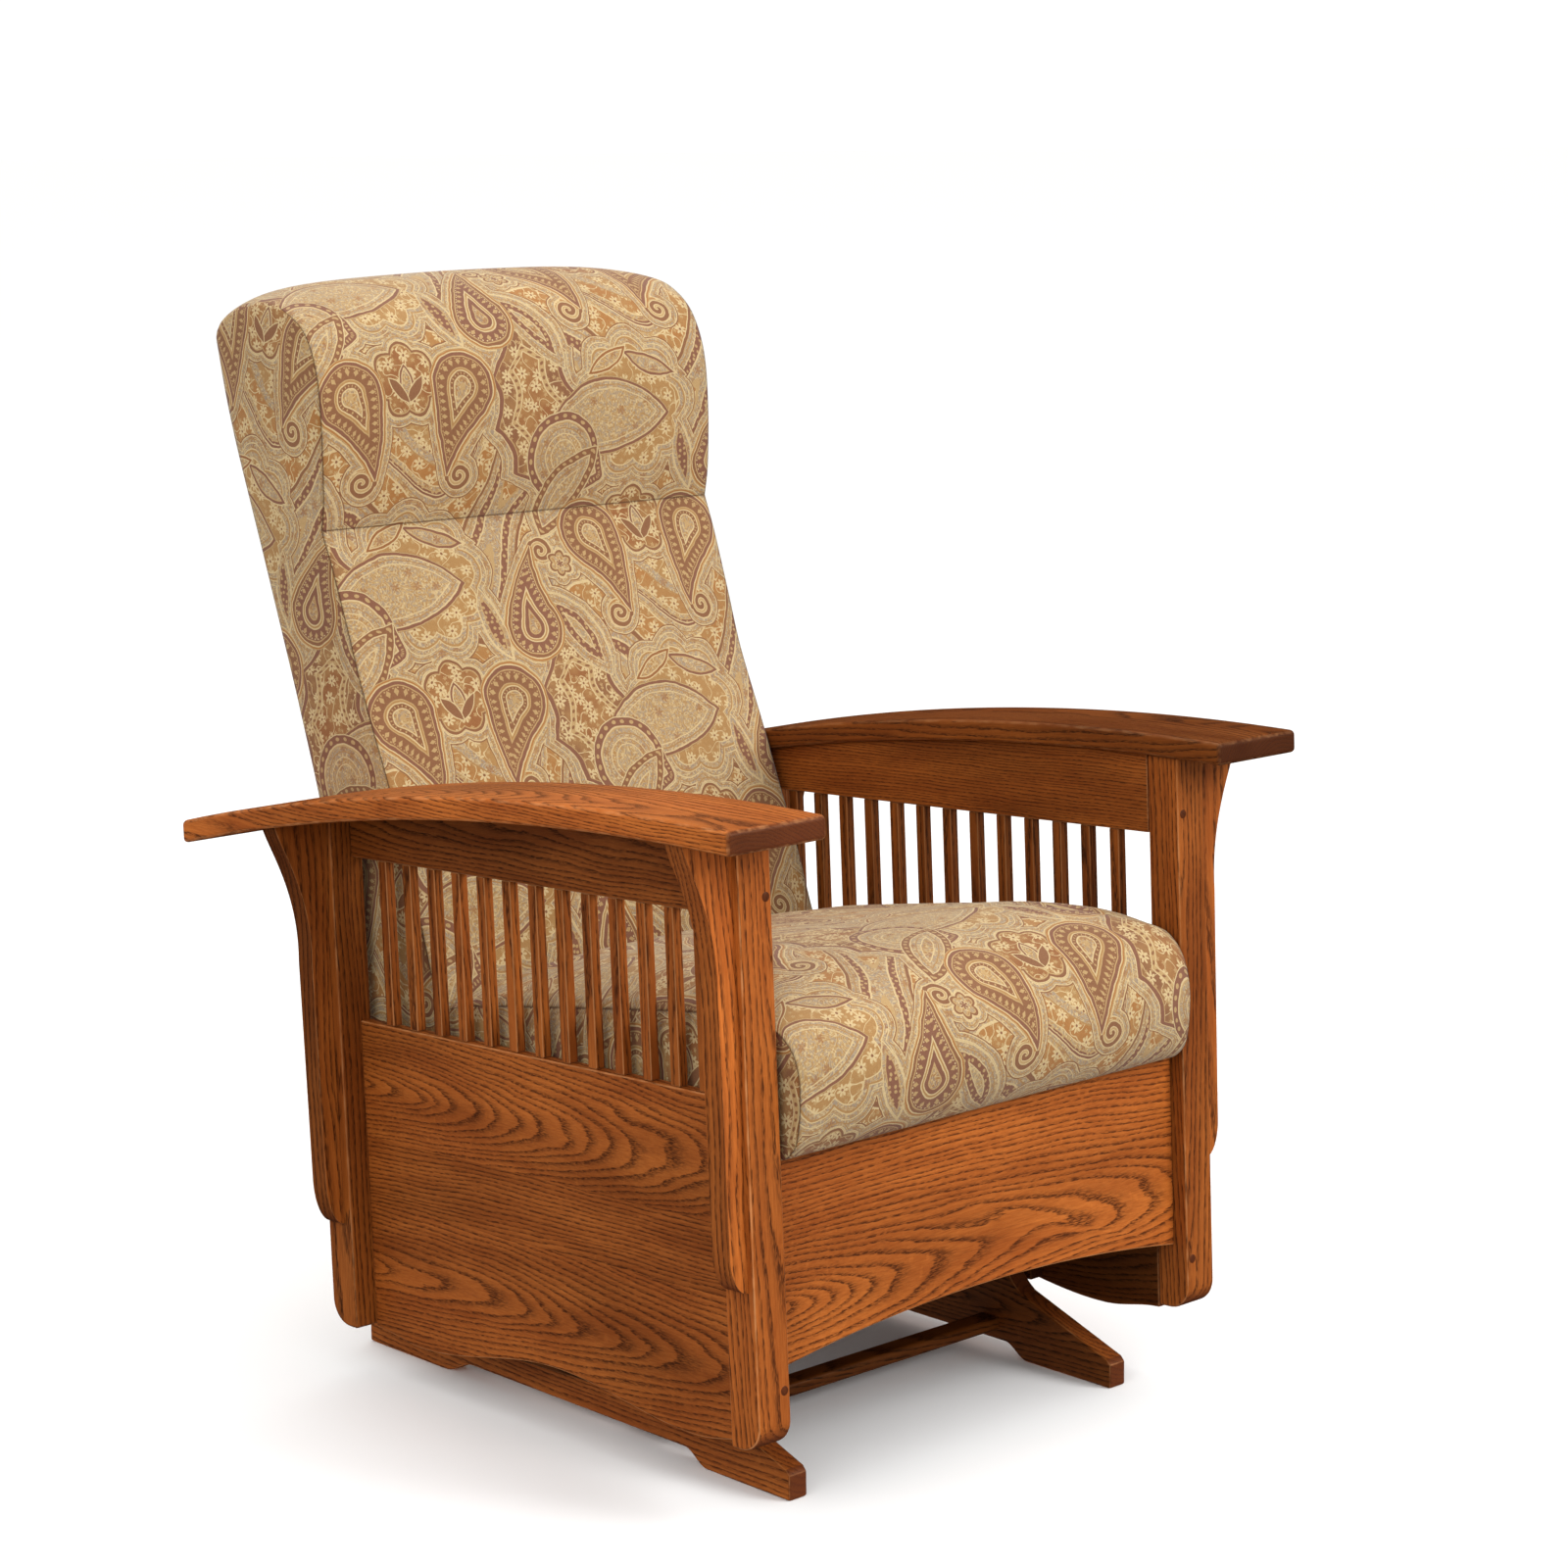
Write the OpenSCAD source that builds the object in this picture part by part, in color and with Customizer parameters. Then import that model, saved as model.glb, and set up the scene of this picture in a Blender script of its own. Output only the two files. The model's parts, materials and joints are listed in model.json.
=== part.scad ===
// Mission glider chair with bowed arms, slatted sides and an upholstered seat
// and back. The seat assembly hangs from a low two-footed base on four
// parallel steel links, so it glides forward and back without tipping.
// Millimetres, +Z up, the chair faces -Y, the sitter's right is -X.
// The origin is under the middle of the whole chair, on the floor.
// Side frame pieces are drawn upright and then leaned back by seat_tilt.

/* [Side frames] */
// Half of the width over the outer faces of the posts
half_w = 310; // [290:1:320]
// Half of the depth over the front and rear posts
half_d = 320; // [310:1:330]
// Width of a post, seen from the front
post_w = 39.5; // [36:0.5:42]
// Depth of a post, seen from the side
post_d = 39; // [36:0.5:42]
// Radius on the lower outer corner of each post
post_toe_r = 26; // [10:1:30]
// Thickness of the side panels and side top rails
rail_t = 15; // [13:0.5:17]
// Underside height of the side top rails
rail_z = 480; // [470:1:490]
// Top height of the side panels
panel_z = 314; // [300:1:330]
// Number of slats on each side
slat_n = 13; // [9:1:14]
// Spacing of the slats
slat_pitch = 38.9; // [34:0.1:39]
// Width of a slat along the side
slat_w = 12.5; // [10:0.5:16]
// Thickness of a slat
slat_t = 11; // [8:0.5:12]

/* [Arms] */
// Distance from the centre to the inner edge of an arm
arm_in = 260; // [256:1:264]
// Width of an arm
arm_w = 116.5; // [100:0.5:125]
// Thickness of an arm
arm_t = 22.5; // [19:0.5:25]
// Outer radius of the bowed arm
arm_r = 3160; // [2800:10:3600]
// Top height of the arm at its crest
arm_top = 582; // [570:1:590]
// Front end of the arms
arm_front = 383; // [370:1:400]
// Rear end of the arms
arm_rear = 442; // [400:1:455]

/* [Corbels] */
// Length of a corbel
corbel_l = 410; // [330:5:450]
// Projection of a corbel under the arm
corbel_top = 57; // [40:1:60]
// Projection of a corbel along its straight part
corbel_mid = 21.5; // [16:0.5:26]
// Thickness of a corbel
corbel_t = 23.4; // [18:0.2:26]

/* [Aprons] */
// Setback of the apron faces from the post faces
apron_set = 16; // [10:1:18]
// Thickness of the aprons
apron_t = 19; // [16:1:22]
// Lower edge of an apron where it meets the posts
apron_z = 66; // [50:1:80]
// Rise of the arch in an apron
apron_rise = 21; // [5:1:40]
// Top edge of the aprons
apron_top = 258; // [256:0.5:259]

/* [Seat] */
// Half of the width of the seat cushion
seat_half = 263; // [250:1:266]
// Top height of the seat rails
deck_z = 252; // [250:0.5:253]
// Backward lean of the whole seat assembly, in degrees
seat_tilt = 2.45; // [1.5:0.05:3]
// Height of the side frames above the floor
seat_lift = 63.6; // [60:0.1:70]

/* [Back] */
// Half of the width of the back
back_half = 256; // [245:1:257]
// Lean of the back within the seat assembly, in degrees
back_lean = 16.5; // [15.5:0.1:17]
// Depth of the pocket in the back pad for the inner frame
pocket_d = 40; // [38:0.5:44]

/* [Base] */
// Distance from the centre to the outer face of a base side
base_out = 230.6; // [228:0.1:231]
// Thickness of a base side
base_t = 23; // [20:0.5:26]
// Front end of the feet, measured from the middle of the side frames
foot_front = 272; // [265:1:280]
// Rear end of the feet, measured from the middle of the side frames
foot_rear = 367; // [355:1:375]
// Height of the feet at their ends
toe_h = 28; // [24:1:34]
// Height of the recess under the feet
foot_gap = 14.5; // [8:0.5:18]

/* [Glide mechanism] */
// Distance between the two pivots of a link
link_l = 115; // [105:1:118]
// Height of the lower pivots above the floor
pivot_z = 88; // [86:0.5:90]
// Front pivot, measured from the middle of the side frames
pivot_front = -70; // [-75:1:-65]
// Rear pivot, measured from the middle of the side frames
pivot_rear = 140; // [135:1:145]
// Thickness of a link
link_t = 5; // [4:0.5:6]
// Outer diameter of a bearing
bearing_d = 22; // [19:0.5:24]
// Bore of a bearing
bore_d = 8.1; // [8.04:0.02:8.18]
// Diameter of a pivot bolt
bolt_d = 8; // [8:0.01:8.02]

/* [Hidden] */

OAK = [0.50, 0.25, 0.11];
OAK_DARK = [0.36, 0.17, 0.08];
STEEL = [0.62, 0.62, 0.62];
PLY = [0.72, 0.56, 0.38];
FABRIC = [0.76, 0.64, 0.44];
FABRIC_2 = [0.68, 0.55, 0.38];
CLOTH = [0.16, 0.15, 0.14];

in_w = half_w - post_w;        // inner faces of the posts
in_d = half_d - post_d;        // facing faces of the front and rear posts
rail_in = in_w;                // side rails are flush with the posts inside
slat_x = in_w + rail_t / 2;    // middle of the slats
arc_y = -210;                  // crest of the arms
arc_z = arm_top - arm_r;       // centre of the arm's arc
FN = 48;
ARC_FN = 720;

// Back: its rear face is a plane through this point of the seat assembly
back_y = 284.5;
back_z = 262;

// Seat assembly point [y, z] turned into floor coordinates, before centring
function lean(p) = [p[0] * cos(seat_tilt) + p[1] * sin(seat_tilt),
                    seat_lift - p[0] * sin(seat_tilt) + p[1] * cos(seat_tilt)];

// Side outlines [y, z]
BACK_PTS = [[162, 263], [193.5, 357.6], [256, 553], [318, 730], [340, 800], [332, 850], [330, 900], [334, 945],
  [350, 992], [376, 1022], [410, 1039], [452, 1047], [488, 1045], [504, 1034], [508, 1016], [503.5, 1001], [284.7, 263]];
SEAT_PTS = [[-316, 259.2], [-330, 272], [-337, 290], [-341, 312], [-342, 338], [-337, 356], [-322, 375], [-294, 391],
  [-256, 399], [-205, 401.5], [-130, 396.5], [-60, 389.5], [26, 380], [86, 372], [145, 361], [172, 350], [182, 338],
  [158, 259.2]];
back_max = max([for (p = BACK_PTS) lean(p)[0]]);
front_min = lean([-arm_front, arc_z + sqrt(arm_r * arm_r - pow(arm_front + arc_y, 2))])[0];
y_mid = (back_max + front_min) / 2;

module seat_place() translate([0, -y_mid, seat_lift]) rotate([-seat_tilt, 0, 0]) children();
module floor_place() translate([0, -y_mid, 0]) children();
// A profile drawn in [y, z] and extruded along X from x0 to x1
module side_cut(x0, x1) translate([x0, 0, 0]) rotate([90, 0, 90]) linear_extrude(height = x1 - x0) children();
// A profile drawn in [x, z] and extruded along Y from y0 to y1
module face_cut(y0, y1) translate([0, y1, 0]) rotate([90, 0, 0]) linear_extrude(height = y1 - y0) children();
module box(a, b) translate(a) cube([b[0] - a[0], b[1] - a[1], b[2] - a[2]]);
// Round bar along X, or along Y
module bar_x(x0, x1, y, z, d, fn = FN) translate([x0, y, z]) rotate([0, 90, 0]) cylinder(d = d, h = x1 - x0, $fn = fn);
module bar_y(y0, y1, x, z, d, fn = FN) translate([x, y1, z]) rotate([90, 0, 0]) cylinder(d = d, h = y1 - y0, $fn = fn);
module flip(s) if (s > 0) children(); else mirror([1, 0, 0]) children();
module below_arm() translate([-500, arc_y, arc_z]) rotate([0, 90, 0]) cylinder(r = arm_r - arm_t, h = 1000, $fn = ARC_FN);

// ---------------------------------------------------------------- seat frame
plug_d = 9.5;
plug_zs = [53, 501];
module plug_holes(f) {
  for (z = plug_zs) {
    if (f < 0) {
      bar_y(-half_d - 1, -half_d + 10.5, slat_x, z, plug_d + 0.2);
      bar_y(-half_d + 9, -in_d + 30, slat_x, z, 4.8);
    } else {
      bar_y(half_d - 10.5, half_d + 1, slat_x, z, plug_d + 0.2);
      bar_y(in_d - 30, half_d - 9, slat_x, z, 4.8);
    }
  }
}
// Post on the +X side; f is -1 at the front and 1 at the rear
module post(f) {
  r = post_toe_r;
  difference() {
    intersection() {
      side_cut(in_w, half_w) mirror([f < 0 ? 1 : 0, 0]) difference() {
        translate([in_d, 0]) square([post_d, 600]);
        difference() {
          translate([half_d - r, -1]) square([r + 1, r + 1]);
          translate([half_d - r, r]) circle(r = r, $fn = 64);
        }
      }
      below_arm();
    }
    plug_holes(f);
  }
}
module front_post_right() color(OAK) seat_place() flip(-1) post(-1);
module front_post_left() color(OAK) seat_place() post(-1);
module rear_post_right() color(OAK) seat_place() flip(-1) post(1);
module rear_post_left() color(OAK) seat_place() post(1);

function bez(p, t) = pow(1 - t, 3) * p[0] + 3 * t * pow(1 - t, 2) * p[1] + 3 * t * t * (1 - t) * p[2] + t * t * t * p[3];
// Corbel outline [projection, height] below a top at height h
function corbel_pts(h) = concat(
  [[0, h + 12], [corbel_top + 0.4, h + 12]],
  [for (i = [0 : 16]) bez([[corbel_top, h], [corbel_top - 7, h - 25], [corbel_mid - 3.5, h - 70], [corbel_mid + 0.5, h - 140]], i / 16)],
  [for (i = [0 : 12]) [(corbel_mid - 1.5) * cos(90 * i / 12), h - corbel_l + 62 - 62 * sin(90 * i / 12)]]);
module corbel(y0, h) intersection() {
  face_cut(y0, y0 + corbel_t) translate([half_w, 0]) polygon(corbel_pts(h));
  below_arm();
}
front_top = arc_z + sqrt(pow(arm_r - arm_t, 2) - pow(half_d - 20 + arc_y, 2));
rear_top = arc_z + sqrt(pow(arm_r - arm_t, 2) - pow(half_d - 20 - arc_y, 2));
module front_corbel_right() color(OAK) seat_place() flip(-1) corbel(-half_d + 7.5, front_top);
module front_corbel_left() color(OAK) seat_place() corbel(-half_d + 7.5, front_top);
module rear_corbel_right() color(OAK) seat_place() flip(-1) corbel(half_d - 5 - corbel_t, rear_top);
module rear_corbel_left() color(OAK) seat_place() corbel(half_d - 5 - corbel_t, rear_top);

// Arm: a board bowed along a circle
module arm() intersection() {
  difference() {
    translate([0, arc_y, arc_z]) rotate([0, 90, 0]) cylinder(r = arm_r, h = 500, $fn = ARC_FN);
    translate([-1, arc_y, arc_z]) rotate([0, 90, 0]) cylinder(r = arm_r - arm_t, h = 502, $fn = ARC_FN);
  }
  linear_extrude(height = 700) difference() {
    translate([arm_in, -arm_front]) square([arm_w, arm_front + arm_rear]);
    for (c = [[arm_in, -arm_front, 1, 1], [arm_in + arm_w, -arm_front, -1, 1], [arm_in, arm_rear, 1, -1], [arm_in + arm_w, arm_rear, -1, -1]])
      translate([c[0], c[1]]) scale([c[2], c[3]]) difference() {
        translate([-1, -1]) square(6);
        translate([5, 5]) circle(r = 5, $fn = 32);
      }
  }
}
module arm_right() color(OAK) seat_place() flip(-1) arm();
module arm_left() color(OAK) seat_place() arm();

module top_rail() difference() {
  intersection() {
    box([rail_in, -in_d, rail_z], [rail_in + rail_t, in_d, 600]);
    below_arm();
  }
  plug_holes(-1);
  plug_holes(1);
}
module side_top_rail_right() color(OAK) seat_place() flip(-1) top_rail();
module side_top_rail_left() color(OAK) seat_place() top_rail();

module slats() for (i = [0 : slat_n - 1]) {
  y = (i - (slat_n - 1) / 2) * slat_pitch;
  box([slat_x - slat_t / 2, y - slat_w / 2, panel_z], [slat_x + slat_t / 2, y + slat_w / 2, rail_z]);
}
module side_slats_right() color(OAK_DARK) seat_place() flip(-1) slats();
module side_slats_left() color(OAK_DARK) seat_place() slats();

// Lower edge of a side panel: a shallow arch between two low shoulders
function wave(y) = abs(y) < 206 ? 11 - 22.7 * (1 - cos(180 * abs(y) / 206)) / 2
                                : -11.7 + 8.7 * (1 - cos(180 * (abs(y) - 206) / 75)) / 2;
module panel() difference() {
  side_cut(rail_in, rail_in + rail_t)
    polygon(concat([for (i = [-24 : 24]) let (y = in_d * i / 24) [y, wave(y)]], [[in_d, panel_z], [-in_d, panel_z]]));
  plug_holes(-1);
  plug_holes(1);
}
module side_panel_right() color(OAK) seat_place() flip(-1) panel();
module side_panel_left() color(OAK) seat_place() panel();

// Apron with an arched lower edge, between the posts
arch_r = (in_w * in_w + apron_rise * apron_rise) / (2 * apron_rise);
module apron(y0) face_cut(y0, y0 + apron_t) difference() {
  translate([-in_w, apron_z]) square([2 * in_w, apron_top - apron_z]);
  translate([0, apron_z + apron_rise - arch_r]) circle(r = arch_r, $fn = ARC_FN);
}
module front_apron() color(OAK) seat_place() apron(-half_d + apron_set);
module rear_apron() color(OAK) seat_place() apron(half_d - apron_set - apron_t);

// Wooden plugs over the screws that hold the posts to the rails and panels
module wood_plugs() color(OAK_DARK) seat_place() for (s = [-1, 1], z = plug_zs) {
  bar_y(-half_d, -half_d + 7, s * slat_x, z, plug_d, 32);
  bar_y(half_d - 7, half_d, s * slat_x, z, plug_d, 32);
}
module screw_y(y0, d) {
  bar_y(min(y0, y0 + 3 * d), max(y0, y0 + 3 * d), 0, 0, 8.6, 24);
  bar_y(min(y0 + 2.5 * d, y0 + 56 * d), max(y0 + 2.5 * d, y0 + 56 * d), 0, 0, 4.4, 24);
}
module frame_screws() color(STEEL) seat_place() for (s = [-1, 1], z = plug_zs) {
  translate([s * slat_x, 0, z]) screw_y(-half_d + 7.5, 1);
  translate([s * slat_x, 0, z]) screw_y(half_d - 7.5, -1);
}

// ------------------------------------------------------------ glide mechanism
rail_x0 = in_w - 18;                     // inner face of the hanging rails
link_x0 = (base_out + rail_x0 - link_t) / 2;
bear_w = 8;
bear_x0 = link_x0 + link_t / 2 - bear_w / 2;
top_z = pivot_z + link_l;
pivots = [pivot_front, pivot_rear];
// Pivot position as seen by the leaning seat assembly
function unlean(p) = let (y = p[0], z = p[1] - seat_lift)
  [y * cos(seat_tilt) - z * sin(seat_tilt), y * sin(seat_tilt) + z * cos(seat_tilt)];

module hanging_rail() difference() {
  side_cut(rail_x0, in_w) difference() {
    translate([-122, 0]) square([322, 72]);
    for (s = [0, 1]) translate([s ? 200 : -122, 72]) scale([s ? -1 : 1, -1]) difference() {
      translate([-1, -1]) square(21);
      translate([20, 20]) circle(r = 20, $fn = 48);
    }
  }
  for (p = pivots) let (q = unlean([p, pivot_z])) {
    bar_x(rail_x0 - 1, in_w + 1, q[0], q[1], 8.4);
    bar_x(in_w - 6, in_w + 1, q[0], q[1], 18.4);
  }
}
module hanging_rail_right() color(OAK_DARK) seat_place() flip(-1) hanging_rail();
module hanging_rail_left() color(OAK_DARK) seat_place() hanging_rail();

module lower_pivot_bolts() color(STEEL) floor_place() for (s = [-1, 1], p = pivots) flip(s) {
  bar_x(in_w - 5.5, in_w - 0.5, p, pivot_z, 18, 36);
  bar_x(bear_x0 - 6.2, in_w - 5, p, pivot_z, bolt_d);
}
module ring_x(x0, x1, y, z, do, di) translate([x0, y, z]) rotate([0, 90, 0]) rotate_extrude($fn = 48)
  translate([di / 2, 0]) square([(do - di) / 2, x1 - x0]);
module nut_x(x0, x1, y, z) difference() {
  bar_x(x0, x1, y, z, 15, 6);
  bar_x(x0 - 1, x1 + 1, y, z, bolt_d + 0.06);
}
module lower_pivot_nuts() color(STEEL) floor_place() for (s = [-1, 1], p = pivots) flip(s)
  nut_x(bear_x0 - 5.6, bear_x0 - 0.4, p, pivot_z);
module lower_pivot_washers() color(STEEL) floor_place() for (s = [-1, 1], p = pivots) flip(s)
  ring_x(bear_x0 + bear_w + 0.4, rail_x0, p, pivot_z, 14, bolt_d + 0.3);

module upper_pivot_bolts() color(STEEL) floor_place() for (s = [-1, 1], p = pivots) flip(s) {
  bar_x(base_out - base_t - 5.5, base_out - base_t, p, top_z, 15, 6);
  bar_x(base_out - base_t - 1, bear_x0 + bear_w + 6.6, p, top_z, bolt_d);
}
module upper_pivot_nuts() color(STEEL) floor_place() for (s = [-1, 1], p = pivots) flip(s)
  nut_x(bear_x0 + bear_w + 0.4, bear_x0 + bear_w + 6, p, top_z);
module upper_pivot_washers() color(STEEL) floor_place() for (s = [-1, 1], p = pivots) flip(s)
  ring_x(base_out, bear_x0 - 0.4, p, top_z, 14, bolt_d + 0.3);

module swing_link(p) floor_place() difference() {
  side_cut(link_x0, link_x0 + link_t) difference() {
    union() {
      translate([p, pivot_z]) circle(r = 17, $fn = 72);
      translate([p, top_z]) circle(r = 17, $fn = 72);
      translate([p - 12, pivot_z]) square([24, link_l]);
    }
    translate([p, pivot_z]) circle(d = bearing_d, $fn = 72);
    translate([p, top_z]) circle(d = bearing_d, $fn = 72);
  }
}
// Sealed ball bearing: outer ring, recessed shield, inner ring
module bearing(y, z) translate([bear_x0, y, z]) rotate([0, 90, 0]) rotate_extrude($fn = 72)
  polygon([[bore_d / 2, 0], [6.2, 0], [6.6, 0.6], [8.8, 0.6], [9.2, 0], [bearing_d / 2, 0], [bearing_d / 2, bear_w],
    [9.2, bear_w], [8.8, bear_w - 0.6], [6.6, bear_w - 0.6], [6.2, bear_w], [bore_d / 2, bear_w]]);
module link_bearings(p) floor_place() { bearing(p, pivot_z); bearing(p, top_z); }
module swing_link_front_right() color(STEEL) flip(-1) swing_link(pivot_front);
module swing_link_front_left() color(STEEL) swing_link(pivot_front);
module swing_link_rear_right() color(STEEL) flip(-1) swing_link(pivot_rear);
module swing_link_rear_left() color(STEEL) swing_link(pivot_rear);
module link_bearings_front_right() color(STEEL) flip(-1) link_bearings(pivot_front);
module link_bearings_front_left() color(STEEL) link_bearings(pivot_front);
module link_bearings_rear_right() color(STEEL) flip(-1) link_bearings(pivot_rear);
module link_bearings_rear_left() color(STEEL) link_bearings(pivot_rear);

// ----------------------------------------------------------------------- base
// Half cosine step from a to b as t goes from 0 to 1
function ease(a, b, t) = a + (b - a) * (1 - cos(180 * t)) / 2;
body_top = top_z + 20;
FOOT_PTS = concat(
  [[-foot_front, 0], [-157, 0]],
  [for (i = [1 : 8]) [-157 + 31 * i / 8, ease(0, foot_gap, i / 8)]],
  [for (i = [0 : 8]) [196 + 46 * i / 8, ease(foot_gap, 0, i / 8)]],
  [[foot_rear, 0], [foot_rear, toe_h - 4], [foot_rear - 4, toe_h]],
  [[235, toe_h + 46.5]],
  [for (i = [1 : 8]) bez([[235, toe_h + 46.5], [195, toe_h + 60], [190, toe_h + 80], [186, body_top - 22]], i / 8)],
  [for (i = [1 : 6]) [164 + 22 * cos(90 * i / 6), body_top - 22 + 22 * sin(90 * i / 6)]],
  [for (i = [0 : 6]) [-94 - 22 * sin(90 * i / 6), body_top - 22 + 22 * cos(90 * i / 6)]],
  [for (i = [1 : 8]) bez([[-116, body_top - 22], [-120, toe_h + 80], [-124, toe_h + 60], [-150, toe_h + 43]], i / 8)],
  [[-foot_front + 5, toe_h + 1.8], [-foot_front, toe_h - 3]]);
str_z = 25; str_h = 14; str_w = 26;
str_ys = [-119, 230];
brace_ys = [-36, 86];
brace_h = 60;
module base_side() floor_place() difference() {
  side_cut(base_out - base_t, base_out) polygon(FOOT_PTS);
  for (p = pivots) bar_x(base_out - base_t - 1, base_out + 1, p, top_z, 8.4);
  for (y = str_ys) screw_hole(y + str_w / 2, str_z + str_h / 2);
  for (y = brace_ys, z = [body_top - 22, body_top - 52]) screw_hole(y + 9.5, z);
}
module screw_hole(y, z) { bar_x(base_out - 4, base_out + 1, y, z, 9.4); bar_x(base_out - base_t - 1, base_out, y, z, 4.8); }
module base_side_right() color(OAK) flip(-1) base_side();
module base_side_left() color(OAK) base_side();
bin = base_out - base_t;
module stretcher(y) floor_place() difference() {
  side_cut(-bin, bin) difference() {
    translate([y, str_z]) square([str_w, str_h]);
    for (c = [[y, str_z, 1, 1], [y + str_w, str_z, -1, 1], [y, str_z + str_h, 1, -1], [y + str_w, str_z + str_h, -1, -1]])
      translate([c[0], c[1]]) scale([c[2], c[3]]) difference() {
        translate([-1, -1]) square(5);
        translate([4, 4]) circle(r = 4, $fn = 32);
      }
  }
  for (s = [-1, 1]) bar_x(s > 0 ? bin - 32 : -bin - 1, s > 0 ? bin + 1 : -bin + 32, y + str_w / 2, str_z + str_h / 2, 4.8);
}
module base_front_stretcher() color(OAK_DARK) stretcher(str_ys[0]);
module base_rear_stretcher() color(OAK_DARK) stretcher(str_ys[1]);
module brace(y) floor_place() difference() {
  box([-bin, y, body_top - 8 - brace_h], [bin, y + 19, body_top - 8]);
  for (s = [-1, 1], z = [body_top - 22, body_top - 52])
    bar_x(s > 0 ? bin - 32 : -bin - 1, s > 0 ? bin + 1 : -bin + 32, y + 9.5, z, 4.8);
}
module base_front_brace() color(OAK_DARK) brace(brace_ys[0]);
module base_rear_brace() color(OAK_DARK) brace(brace_ys[1]);
module screw_x(y, z) {
  bar_x(base_out - 4, base_out - 1, y, z, 8.6, 24);
  bar_x(base_out - 54, base_out - 3.5, y, z, 4.4, 24);
}
module base_screws() color(STEEL) floor_place() for (s = [-1, 1]) flip(s) {
  for (y = str_ys) screw_x(y + str_w / 2, str_z + str_h / 2);
  for (y = brace_ys, z = [body_top - 22, body_top - 52]) screw_x(y + 9.5, z);
}

// ----------------------------------------------------------------- seat deck
deck_h = 54;
seat_y1 = 214;                 // rear face of the rear seat rail
module seat_rail() box([in_w - 19.5, -in_d - 4, deck_z - deck_h], [in_w, 268, deck_z]);
module seat_rail_right() color(PLY) seat_place() flip(-1) seat_rail();
module seat_rail_left() color(PLY) seat_place() seat_rail();
module seat_rail_front() color(PLY) seat_place() box([-in_w + 19.5, -in_d - 4, deck_z - deck_h], [in_w - 19.5, -in_d + 15, deck_z]);
module seat_rail_rear() color(PLY) seat_place() box([-in_w + 19.5, seat_y1 - 19, deck_z - deck_h], [in_w - 19.5, seat_y1, deck_z]);

// Flat serpentine spring: n bends of pitch p, half width a, wire t
module serpentine(n, p, a, t) {
  c = a - p / 2;
  for (i = [0 : n - 1]) let (s = i % 2 == 0 ? 1 : -1) translate([s * c, p * (i + 0.5)]) intersection() {
    difference() { circle(d = p + t, $fn = 32); circle(d = p - t, $fn = 32); }
    translate([s > 0 ? -0.4 : -p, -p]) square([p + 0.4, 2 * p]);
  }
  for (i = [1 : n - 1]) translate([-c, p * i - t / 2]) square([2 * c, t]);
  translate([-t / 2, -t / 2]) square([c + t / 2, t]);
  translate([n % 2 == 0 ? -c : -t / 2, n * p - t / 2]) square([c + t / 2, t]);
}
wire = 3.5;
deck_span = seat_y1 - 19 + in_d - 15;
module seat_springs() color(STEEL) seat_place() for (x = [-180, -90, 0, 90, 180])
  translate([x, -in_d + 15 - 9, deck_z]) linear_extrude(height = wire) serpentine(14, (deck_span + 18) / 14, 24, wire);
module deck_cloth() color(CLOTH) seat_place() box([-in_w + 2, -in_d - 2, deck_z + 4], [in_w - 2, 150, deck_z + 5.2]);
module dust_cover() color(CLOTH) seat_place() box([-in_w + 2, -in_d - 2, deck_z - deck_h - 1.4], [in_w - 2, seat_y1, deck_z - deck_h - 0.2]);
module seat_cushion() color(FABRIC) seat_place() side_cut(-seat_half, seat_half) polygon(SEAT_PTS);

// ----------------------------------------------------------------------- back
// Local frame of the back: [x, forward from the rear face, up along it]
module back_place() seat_place() translate([0, back_y, back_z]) rotate([-back_lean, 0, 0]) mirror([0, 1, 0]) children();
stile_x = back_half - 27;
module back_stile() box([stile_x, 8, -86], [stile_x + 22, 34, 764]);
module back_stile_right() color(PLY) flip(-1) back_place() back_stile();
module back_stile_left() color(PLY) back_place() back_stile();
module back_rail(v, h) back_place() box([-stile_x, 8, v], [stile_x, 34, v + h]);
module back_top_rail() color(PLY) back_rail(714, 50);
module back_middle_rail() color(PLY) back_rail(420, 45);
module back_bottom_rail() color(PLY) back_rail(24, 50);
module back_springs() color(STEEL) back_place() for (x = [-135, -45, 45, 135])
  translate([x, 34, 60]) mirror([0, 1, 0]) rotate([90, 0, 0]) linear_extrude(height = wire) serpentine(16, 674 / 16, 26, wire);
module back_pad() color(FABRIC) difference() {
  seat_place() side_cut(-back_half, back_half) polygon(BACK_PTS);
  back_place() box([-stile_x - 22.4, -30, -60], [stile_x + 22.4, pocket_d, 768]);
}
module back_panel() color(FABRIC_2) back_place() box([-stile_x - 22, 0.6, 3], [stile_x + 22, 7, 767]);

base_side_right();
base_side_left();
base_front_stretcher();
base_rear_stretcher();
base_front_brace();
base_rear_brace();
base_screws();
upper_pivot_bolts();
upper_pivot_nuts();
upper_pivot_washers();
swing_link_front_right();
link_bearings_front_right();
swing_link_front_left();
link_bearings_front_left();
swing_link_rear_right();
link_bearings_rear_right();
swing_link_rear_left();
link_bearings_rear_left();
front_post_right();
front_post_left();
rear_post_right();
rear_post_left();
front_corbel_right();
front_corbel_left();
rear_corbel_right();
rear_corbel_left();
arm_right();
arm_left();
side_top_rail_right();
side_top_rail_left();
side_slats_right();
side_slats_left();
side_panel_right();
side_panel_left();
front_apron();
rear_apron();
hanging_rail_right();
hanging_rail_left();
lower_pivot_bolts();
lower_pivot_nuts();
lower_pivot_washers();
seat_rail_right();
seat_rail_left();
seat_rail_front();
seat_rail_rear();
seat_springs();
deck_cloth();
dust_cover();
seat_cushion();
back_stile_right();
back_stile_left();
back_top_rail();
back_middle_rail();
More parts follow.
